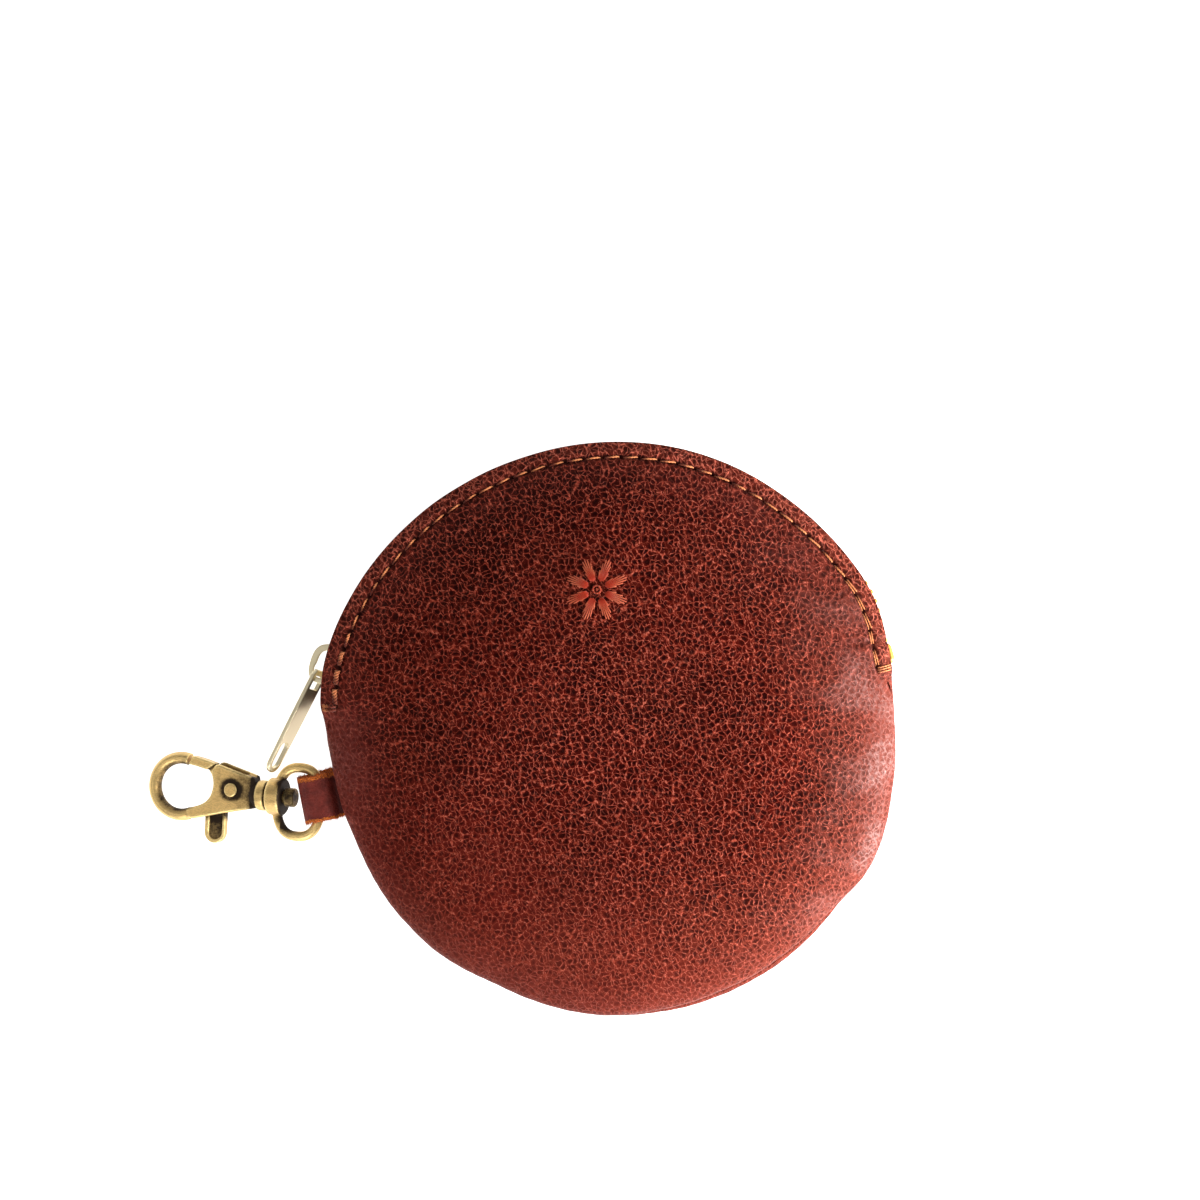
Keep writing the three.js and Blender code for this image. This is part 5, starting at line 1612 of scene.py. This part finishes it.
def rounded_ring(middle, half_long, half_wide, squareness, count):
    """A closed line between an oval and a box, its points evenly spaced."""
    turn = round_turn(400)
    power = 2 / squareness
    c, s = np.cos(turn), np.sin(turn)
    path = np.stack([middle[0] + half_long * np.sign(c) * np.abs(c) ** power,
                     middle[1] + half_wide * np.sign(s) * np.abs(s) ** power], axis=1)
    path = np.concatenate([path, path[:1]])
    travelled = travelled_along(path)
    return spaced(path, travelled, np.linspace(0, travelled[-1], count, endpoint=False))


def on_rivet(part):
    """A part turned along X stood up on the rivet's place."""
    return moved(part, Matrix.Translation((*RIVET_AT, 0)) @ Matrix.Rotation(math.pi / 2, 4, "Y"))


def from_point(local, place):
    return np.hypot(local[:, 0] - place[0], local[:, 1] - place[1])


def build_ring(material):
    """The swivel ring: a bent wire whose ends meet in the boss that the hook's post turns in."""
    half = RING_LENGTH / 2
    wire = rounded_ring((half, RING_MIDDLE), half, RING_WIDTH / 2, 2.5, 120)
    parts = [tube(wire, RING_WIRE, RING_WIRE, closed=True),
             rounded_bar(BOSS_START, BOSS_END, BOSS_RADIUS, 0.45)]
    bore = rod(BOSS_START - 1, BOSS_END + 1, POST_RADIUS + 0.3)
    piece, local = fused("ring_brass", parts, [bore], clasp_frame(), COARSE, 4, material)
    x, y, z = local.T
    radius = np.hypot(y, z)
    # Dark where the wire meets the boss, on the wire's inner side and on the face round the bore, and painted
    # shade on the ring's lower side by the boss
    joint = bump_at(np.abs(y - RING_MIDDLE), 3.6, 1.3) * bump_at(x, BOSS_START, 1.2)
    inside = smoothstep(RING_WIDTH / 2 - 1.0 - np.hypot((x - half) * 1.3, y - RING_MIDDLE), -0.3, 0.9)
    face = bump_at(x, BOSS_START, 0.35) * (radius < 3.6)
    lathed = smoothstep(radius, 3.4, 3.7) * (x > BOSS_START + 0.3) * (x < BOSS_END - 0.3)
    painted_shade = bump_at(y, -5.4, 1.7) * bump_at(x, BOSS_START - 1.5, 2.6) * (1 - lathed)
    patina_and_shade = 0.9 * joint + 0.5 * inside * (1 - lathed) + 0.8 * face + 0.9 * painted_shade
    point_values(piece, "patina_and_shade", np.clip(patina_and_shade, 0, 1))
    return piece


def build_hook(material):
    """The hook: collar, slotted body and bow in one casting, with the post's head behind the ring's boss."""
    gate_side = [(BODY_START + a * BODY_LENGTH, g * BOW_OUTSIDE) for a, g, _ in BODY_TABLE]
    thumb_side = [(BODY_START + a * BODY_LENGTH, -t * BOW_OUTSIDE) for a, _, t in BODY_TABLE]
    front = [(BODY_END + past * BOW_REACH, up * BOW_OUTSIDE) for past, up in EYE_TABLE]
    lower_side = [(x, y + 0.34) for x, y in gate_side[:-1]] + gate_side[-1:]
    outline, lower = (smooth_outline(thumb_side + front + side[::-1]) for side in (gate_side, lower_side))
    neck = [(0, 0), (0, 2.5), (0.15, 2.9), (0.5, 3.05), (1.3, 3.08), (1.9, 3.0), (2.15, 2.75), (2.3, 2.5),
            (2.6, 2.55), (3.0, 2.3), (4.0, 1.6), (4.0, 0)]
    parts = [plate(outline, HOOK_THICKNESS, 0.3),
             plate_between(lower, -HOOK_THICKNESS / 2 + 0.05, -0.9),
             tube(arc(BOW_CENTRE, BOW_RADIUS, -110, 106.4, 72), BOW_WIRE, HOOK_THICKNESS * 0.96, sides=36)]
    slot = block((BODY_START + BODY_LENGTH * 0.22, -BOW_OUTSIDE - 1, -1.05),
                 (BODY_START + BODY_LENGTH * 1.24, BOW_OUTSIDE + 1, 1.05))
    swivel = [turned([(NECK_START + along, radius) for along, radius in neck]),
              rod(HEAD_START + 1, NECK_START + 1, POST_RADIUS),
              rounded_bar(HEAD_START, HEAD_START + 2.1, 1.9, 0.3)]
    piece, local = fused("hook_brass", parts, [slot], clasp_frame(), COARSE, 4, material, keep=swivel)
    x, y, z = local.T
    # Dark round the rivet, in the neck's steps, in the slot, underneath and inside the bow, and painted shade
    # on the top face toward the neck
    round_rivet = bump_at(from_point(local, RIVET_AT), 1.75, 0.75) * (z > 0)
    joint = bump_at(x, BODY_START + 0.1, 0.55) + bump_at(x, NECK_START, 0.35)
    joint = joint + 0.6 * bump_at(x, NECK_START + 2.2, 0.3)
    sides = bump_at(np.abs(z), 0.2, 0.9) * (x > BODY_START + 2.2) * (x < BODY_END + 1.5)
    down = smoothstep(-z, 0.9, 1.7) * 0.35
    back = smoothstep(HEAD_START + 2.3 - x, 0, 0.6) * 0.6
    eye = smoothstep(BOW_RADIUS - 0.55 - from_point(local, BOW_CENTRE), -0.5, 0.6) * (x > BODY_END)
    painted_shade_toward_neck = 0.494 * (1 - smoothstep(x, BODY_START, BODY_START + 6)) * (x > BODY_START) * (z > 0)
    patina_and_shade = 0.7 * round_rivet + 0.85 * joint + 0.7 * sides + down + back + 0.55 * eye + painted_shade_toward_neck
    point_values(piece, "patina_and_shade", np.clip(patina_and_shade, 0, 1))
    return piece


def gate_point(angle, share):
    turn, reach = math.radians(angle), share * BOW_OUTSIDE
    return (BOW_CENTRE[0] + reach * math.cos(turn), BOW_CENTRE[1] + reach * math.sin(turn))


def build_trigger(material):
    """The trigger: the gate that closes the bow, its hub on the rivet and the dished lever for the thumb."""
    half = THUMB_RADIUS
    angle, _, inner, outer = GATE_TABLE[-1]
    outline = np.concatenate([
        arc(THUMB_AT, half, 180, 360, 20),
        [(THUMB_AT[0] + half, -BOW_OUTSIDE * 0.3), (RIVET_AT[0] + half, RIVET_AT[1] - half * 0.3),
         gate_point(angle - 3, inner + 0.03), gate_point(angle - 3, outer - 0.06)],
        arc(RIVET_AT, half, 100, 200, 10),
        [(THUMB_AT[0] - half, -BOW_OUTSIDE * 0.5)],
    ])
    gate = [gate_point(a + lean, outer) for a, lean, _, outer in GATE_TABLE]
    gate += [gate_point(a, inner) for a, _, inner, _ in reversed(GATE_TABLE)]
    dish_at, dish_half = THUMB_AT[0] - 0.15, half - 0.72
    dish = np.concatenate([
        arc((dish_at, THUMB_AT[1] + 0.1), dish_half, 180, 360, 16),
        [(dish_at + dish_half, -BOW_OUTSIDE * 0.66), (dish_at - dish_half, -BOW_OUTSIDE * 0.66)],
    ])
    cuts = [on_rivet(rod(-3, 3, 1.15)), plate_between(dish, 0.42, 2), plate_between(dish, -2, -0.42)]
    parts = [plate(outline, 1.6, 0.12), plate(gate, 2.6, 0.2)]
    piece, local = fused("trigger_brass", parts, cuts, clasp_frame(), COARSE, 3, material)
    x, y, z = local.T
    # Dark in the dish, beside the hook's body and where the gate meets the lever
    in_dish = (np.abs(x - dish_at) < half - 0.85) * smoothstep(-y, BOW_OUTSIDE * 0.5, BOW_OUTSIDE * 0.75)
    in_dish = in_dish * (y > THUMB_AT[1] - half + 0.75) * (np.abs(z) < 0.62)
    near_body = smoothstep(y, -BOW_OUTSIDE * 0.95, -BOW_OUTSIDE * 0.6) * (x < BODY_END + 2) * (y < 2)
    round_bow = np.degrees(np.arctan2(y - BOW_CENTRE[1], x - BOW_CENTRE[0]))
    gate_ends = bump_at(round_bow, 148, 3) * (from_point(local, BOW_CENTRE) > 5)
    point_values(piece, "patina_and_shade", np.clip(0.6 * in_dish + 0.7 * near_body + 0.7 * gate_ends, 0, 1))
    return piece


def build_rivet(material):
    """The rivet, its two heads low and round."""
    face = HOOK_THICKNESS / 2 + 0.02
    head = ((-0.4, 0.9), (-0.02, 0.95), (0, 1.38), (0.14, 1.4), (0.28, 1.3), (0.37, 1.0), (0.4, 0.5),
            (0.4, 0))
    profile = [(face + rise, radius) for rise, radius in head]
    whole = turned([(-rise, radius) for rise, radius in profile[::-1]] + profile, 48)
    piece, local = fused("rivet_brass", [on_rivet(whole)], [], clasp_frame(), FINE, 2, material)
    point_values(piece, "patina_and_shade", 0.6 * bump_at(from_point(local, RIVET_AT), 1.42, 0.12))
    return piece


class POUCH_OT_clasp(bpy.types.Operator):
    """Makes the swivel clasp: its ring, hook, trigger and rivet"""
    bl_idname = "pouch.clasp"
    bl_label = "Swivel Clasp"

    def execute(self, context):
        settings = context.scene.pouch_clasp
        material = metal_material(
            "old_brass", settings.bright, settings.dull, settings.tarnish, settings.age, 0.3, 177, 0.5)
        settle(build_ring(material), "ring", "old_brass", "swivel_ring")
        settle(build_hook(material), "hook", "old_brass", "clasp_hook")
        settle(build_trigger(material), "trigger", "old_brass", "clasp_trigger")
        settle(build_rivet(material), "hook", "old_brass", "trigger_rivet")
        return {"FINISHED"}


# Thread

class ThreadSettings(bpy.types.PropertyGroup):
    """The waxed thread along the zip and the small stitched rosette."""
    color: color_property("Thread", "Colour of the waxed thread", linear(92, 32, 17))
    light: color_property("Thread highlight", "Colour of the thread's raised parts", linear(226, 140, 88))
    motif_color: color_property("Rosette", "Colour of the rosette's petals", linear(150, 38, 12))
    motif_light: color_property("Rosette highlight", "Colour of its raised threads", linear(176, 82, 52))
    thickness: size_property("Thickness", "Thickness of the waxed thread, in millimetres", 0.42, 0.1, 3)


# One stitch as it lies on the hide
Laid = namedtuple("Laid", "place way up length girth")


def strand_template(turns, rise=0.34, dive=0.55, plies=2):
    """A stretch of twisted thread along X, a millimetre long and thick, both ends diving into the hide."""
    stations = np.linspace(-0.5, 0.5, 17)
    height = rise * (1 - np.abs(2 * stations) ** 4) - dive * np.abs(2 * stations) ** 7
    around = round_turn(6)
    parts, lit = [], []
    for ply in range(plies):
        sections = []
        for x, z in zip(stations, height):
            turn = 2 * math.pi * (turns * (x + 0.5) + ply / plies)
            slim = 1 - 0.45 * abs(2 * x) ** 6
            radius, offset = 0.28 * slim, 0.23 * slim if plies > 1 else 0
            sections.append(np.column_stack([
                np.full(6, x), offset * math.cos(turn) + radius * np.cos(around),
                z + offset * math.sin(turn) + radius * np.sin(around)]))
            lit += [0.06 + 0.7 * float(smoothstep(x, -0.35, 0.3)) + 0.2 * (math.sin(turn) > 0)] * 6
        parts.append(swept(sections, flip=True))
    piece = make_mesh("strand", *joined(parts))
    point_values(piece, "lit", np.clip(lit, 0, 1))
    return piece


def stitch_line(side):
    """One panel's stitches, from the zip's right end to its left. They are double near both ends."""
    rows = []
    rng = np.random.default_rng(11 + side)
    for angle in np.arange(STITCH_FROM + 2.0 * DEGREES_PER_MM, STITCH_TO - 1, STITCH_PITCH * DEGREES_PER_MM):
        left = smoothstep(angle, 158, 170)
        right = 1 - smoothstep(angle, 24, 40)
        length = STITCH_LENGTH + 0.25 * right + rng.uniform(-0.12, 0.12)
        slant = math.radians(4 + rng.uniform(-3, 3))
        doubled = left > 0.5 or right > 0.5
        for shift in ((-0.27, 0.27) if doubled else (0.0,)):
            place, up = on_panel(side, angle, STITCH_IN + shift + rng.uniform(-0.04, 0.04))
            before, after = (on_panel(side, angle + near, STITCH_IN)[0] for near in (0.6, -0.6))
            way = unit(after - before)
            way = unit(way * math.cos(slant) + np.cross(up, way) * math.sin(slant))
            girth = (1 + 1.85 * left) * (0.8 - 0.15 * right if doubled else 1.0)
            rows.append(Laid(place + up * (0.02 + 0.2 * left), way, up, length, girth))
    return rows


def bar_tacks(side):
    """The short tight stitches that cross the edge at both of the zip's ends."""
    rows = []
    for end, reach, shifts, girth in ((STITCH_FROM - 0.6, 2.9, (-0.5, 0, 0.45), 0.75),
                                      (STITCH_TO + 0.4, 3.0, (-0.3, 0.35), 1.9)):
        for shift in shifts:
            angle = end + shift * DEGREES_PER_MM
            place, up = on_panel(side, angle, reach * 0.55)
            inner, outer = (on_panel(side, angle, from_edge)[0] for from_edge in (reach, 0.15))
            rows.append(Laid(place + up * 0.1, unit(outer - inner), up, reach * 1.02, girth))
    return rows


def on_front(x, y, lift, heading):
    """A place just over the front hide seen from above, the way over it for a heading, and its normal."""
    surface = panel_surface(1)
    column = int(round(math.degrees(math.atan2(y, x)) % 360 * SECTORS / 360)) % SECTORS
    points, normals = surface.points[:, column], surface.normals[:, column]
    reach = np.hypot(points[:, 0], points[:, 1])
    widest = int(np.argmax(reach))
    height, *up = (np.interp(math.hypot(x, y), reach[:widest], values[:widest])
                   for values in (points[:, 2], *normals.T))
    up = unit(np.array(up))
    way = np.array([math.cos(heading), math.sin(heading), 0])
    return np.array([x, y, height]) + up * lift, unit(way - up * np.dot(way, up)), up


def rosette():
    """The threads of a small rosette in satin stitch, with a ring of knots in its middle."""
    rows = []
    for petal in range(ROSETTE_PETALS):
        turn = 2 * math.pi * (petal + 0.5) / ROSETTE_PETALS
        cos, sin = math.cos(turn), math.sin(turn)
        for thread in range(-3, 4):
            start, end = 1.5 + 0.12 * abs(thread), ROSETTE_REACH * (1 - 0.045 * thread ** 2)
            middle = (start + end) / 2
            aside = 0.51 * thread * middle / ROSETTE_REACH
            x, y = ROSETTE_AT[0] + middle * cos - aside * sin, ROSETTE_AT[1] + middle * sin + aside * cos
            rows.append(Laid(*on_front(x, y, 0.02, turn + math.radians(4.4 * thread)), end - start, 0.62))
    for radius, turn in [(0.75, turn) for turn in round_turn(8)] + [(0, 0)]:
        x, y = ROSETTE_AT[0] + radius * math.cos(turn), ROSETTE_AT[1] + radius * math.sin(turn)
        rows.append(Laid(*on_front(x, y, 0.05, turn + math.pi / 2), 0.62, 0.8))
    return rows


def lay_threads(name, template, rows, thickness, material, seed):
    """One mesh of threads, each laid at its own place with its own girth."""
    places, ways, ups, lengths, girths = (np.array(column) for column in zip(*rows))
    return lay_out(name, template, places, ways, ups, lengths, thickness, 0.08, seed, material, girths)


class POUCH_OT_stitches(bpy.types.Operator):
    """Makes the waxed stitches along the zip and the bars at its ends"""
    bl_idname = "pouch.stitches"
    bl_label = "Stitches"

    def execute(self, context):
        settings = context.scene.pouch_thread
        thread = thread_material("waxed_thread", settings.color, settings.light, 0.55)
        for side, name in SIDES:
            piece = lay_threads(
                f"{name}_stitches", strand_template(2.6), stitch_line(side) + bar_tacks(side),
                settings.thickness, thread, 5 + side)
            settle(piece, "pouch", "thread")
        return {"FINISHED"}


class POUCH_OT_rosette(bpy.types.Operator):
    """Makes the small stitched rosette on the front"""
    bl_idname = "pouch.rosette"
    bl_label = "Rosette"

    def execute(self, context):
        settings = context.scene.pouch_thread
        silk = thread_material("rosette_thread", settings.motif_color, settings.motif_light, 0.5)
        piece = lay_threads("front_rosette", strand_template(0.0, 0.3, 0.5, 1), rosette(), 0.7, silk, 9)
        settle(piece, "pouch", "thread")
        return {"FINISHED"}


# The stage

def power_property(name, description, default):
    return bpy.props.FloatProperty(name=name, description=description, default=default, min=0, unit="POWER")


class StageSettings(bpy.types.PropertyGroup):
    """The floor, the light and the camera."""
    floor_color: color_property("Floor", "Colour of the floor", (0.9, 0.9, 0.9))
    floor_glow: size_property("Floor glow", "Light that the floor gives off by itself", 0.86, 0, 5)
    sky_low: size_property("Sky at the horizon", "Strength of the even light from the sides", 0.8, 0, 10)
    sky_high: size_property("Sky overhead", "Strength of the even light from above", 0.3, 0, 10)
    key: power_property("Key light", "Power of the soft light from the right", 23.0)
    rim: power_property("Rim light", "Power of the light from the upper right", 1.2)
    fill: power_property("Fill light", "Power of the light from the lower left", 2.8)
    glint: power_property("Glint light", "Power of the small lights whose reflections show in the metal", 0.2)
    camera_height: bpy.props.FloatProperty(
        name="Camera height", description="Height of the camera over the floor", default=0.5787, min=0.1,
        unit="LENGTH")
    lens: bpy.props.FloatProperty(
        name="Lens", description="Focal length of the camera", default=85, min=10, unit="CAMERA")


# The lights, in metres: name, setting, share of its power, place, target, width and colour
LIGHTS = (
    ("key_light", "key", 1, (0.72, -0.24, 0.19), (0, 0, 0.012), 0.3, (1, 0.985, 0.96)),
    ("rim_light", "rim", 1, (0.46, 0.12, 0.46), (0.03, 0, 0.01), 0.26, (1, 0.985, 0.96)),
    ("fill_light", "fill", 1, (-0.2, -0.62, 0.4), (0, 0, 0.01), 0.5, (1, 0.99, 0.98)),
    ("glint_light", "glint", 0.3, (-0.15, -0.03, 0.55), (-0.075, -0.01, 0), 0.16, (1, 0.99, 0.97)),
    ("side_glint_light", "glint", 1.35, (-0.43, -0.04, 0.485), (-0.075, -0.01, 0), 0.3, (1, 0.97, 0.93)),
)
CAMERA_AT = (-0.00266, 0.02556)
FLOOR_HALF = 1.5


def add_light(name, place, target, width, power, color):
    light = bpy.data.lights.new(name, "AREA")
    light.shape = "DISK"
    light.size = width
    light.energy = power
    light.color = color
    lamp = add_object(name, light)
    lamp.location = place
    lamp.rotation_euler = (Vector(target) - Vector(place)).to_track_quat("-Z", "Y").to_euler()


def build_floor(settings):
    corners = [(-FLOOR_HALF, -FLOOR_HALF, 0), (FLOOR_HALF, -FLOOR_HALF, 0),
               (FLOOR_HALF, FLOOR_HALF, 0), (-FLOOR_HALF, FLOOR_HALF, 0)]
    floor = add_object("floor", new_mesh("floor", corners, [(0, 1, 2, 3)]))
    paper, tree, shader = new_material("floor_paper")
    fill(tree, shader, {
        "Base Color": settings.floor_color, "Roughness": 0.9, "Specular IOR Level": 0.1,
        "Emission Color": (1, 1, 1), "Emission Strength": settings.floor_glow})
    floor.data.materials.append(paper)
    return floor


def build_sky(settings):
    """An even pale light all round, weaker from above."""
    world = bpy.data.worlds.new("studio")
    world.use_nodes = True
    sky = world.node_tree
    upward = parted(sky, add_node(sky, "ShaderNodeTexCoord").outputs["Generated"])["Z"]
    strength = ramp(sky, upward, 0.0, 0.75, settings.sky_low, settings.sky_high)
    fill(sky, sky.nodes["Background"], {"Color": (1, 1, 1), "Strength": strength})
    return world


class POUCH_OT_stage(bpy.types.Operator):
    """Makes the pale floor, the soft studio light and the camera"""
    bl_idname = "pouch.stage"
    bl_label = "Stage"

    def execute(self, context):
        settings = context.scene.pouch_stage
        floor = build_floor(settings)
        context.scene.world = build_sky(settings)
        for name, key, share, place, target, width, color in LIGHTS:
            add_light(name, place, target, width, share * getattr(settings, key), color)
        camera = bpy.data.cameras.new("camera")
        camera.lens = settings.lens
        camera.sensor_width = 36
        camera.clip_start = 0.01
        viewer = add_object("camera", camera)
        viewer.location = (*CAMERA_AT, settings.camera_height)
        context.scene.camera = viewer
        context.scene.view_settings.view_transform = "Standard"
        return {"FINISHED"}


class POUCH_PT_sidebar(bpy.types.Panel):
    """Lists what the pouch is made of"""
    bl_label = "Leather Pouch"
    bl_space_type = "VIEW_3D"
    bl_region_type = "UI"
    bl_category = "Pouch"

    def draw(self, context):
        column = self.layout.column(align=True)
        for operator in OPERATORS:
            column.operator(operator.bl_idname)
        for label, group in SETTINGS:
            box = self.layout.box()
            settings = getattr(context.scene, label)
            box.label(text=group.__doc__)
            for key in group.__annotations__:
                box.prop(settings, key)


SETTINGS = (
    ("pouch_hide", HideSettings),
    ("pouch_zip", ZipSettings),
    ("pouch_loop", LoopSettings),
    ("pouch_clasp", ClaspSettings),
    ("pouch_thread", ThreadSettings),
    ("pouch_stage", StageSettings),
)
OPERATORS = (
    POUCH_OT_hide, POUCH_OT_tape, POUCH_OT_teeth, POUCH_OT_slider, POUCH_OT_loop, POUCH_OT_clasp,
    POUCH_OT_stitches, POUCH_OT_rosette, POUCH_OT_stage,
)


def register():
    for _, group in SETTINGS:
        bpy.utils.register_class(group)
    for operator in OPERATORS:
        bpy.utils.register_class(operator)
    bpy.utils.register_class(POUCH_PT_sidebar)
    for label, group in SETTINGS:
        setattr(bpy.types.Scene, label, bpy.props.PointerProperty(type=group))


def unregister():
    for label, _ in SETTINGS:
        delattr(bpy.types.Scene, label)
    bpy.utils.unregister_class(POUCH_PT_sidebar)
    for operator in reversed(OPERATORS):
        bpy.utils.unregister_class(operator)
    for _, group in reversed(SETTINGS):
        bpy.utils.unregister_class(group)


def main():
    register()
    for operator in OPERATORS:
        category, name = operator.bl_idname.split(".")
        getattr(getattr(bpy.ops, category), name)()


if __name__ == "__main__":
    main()
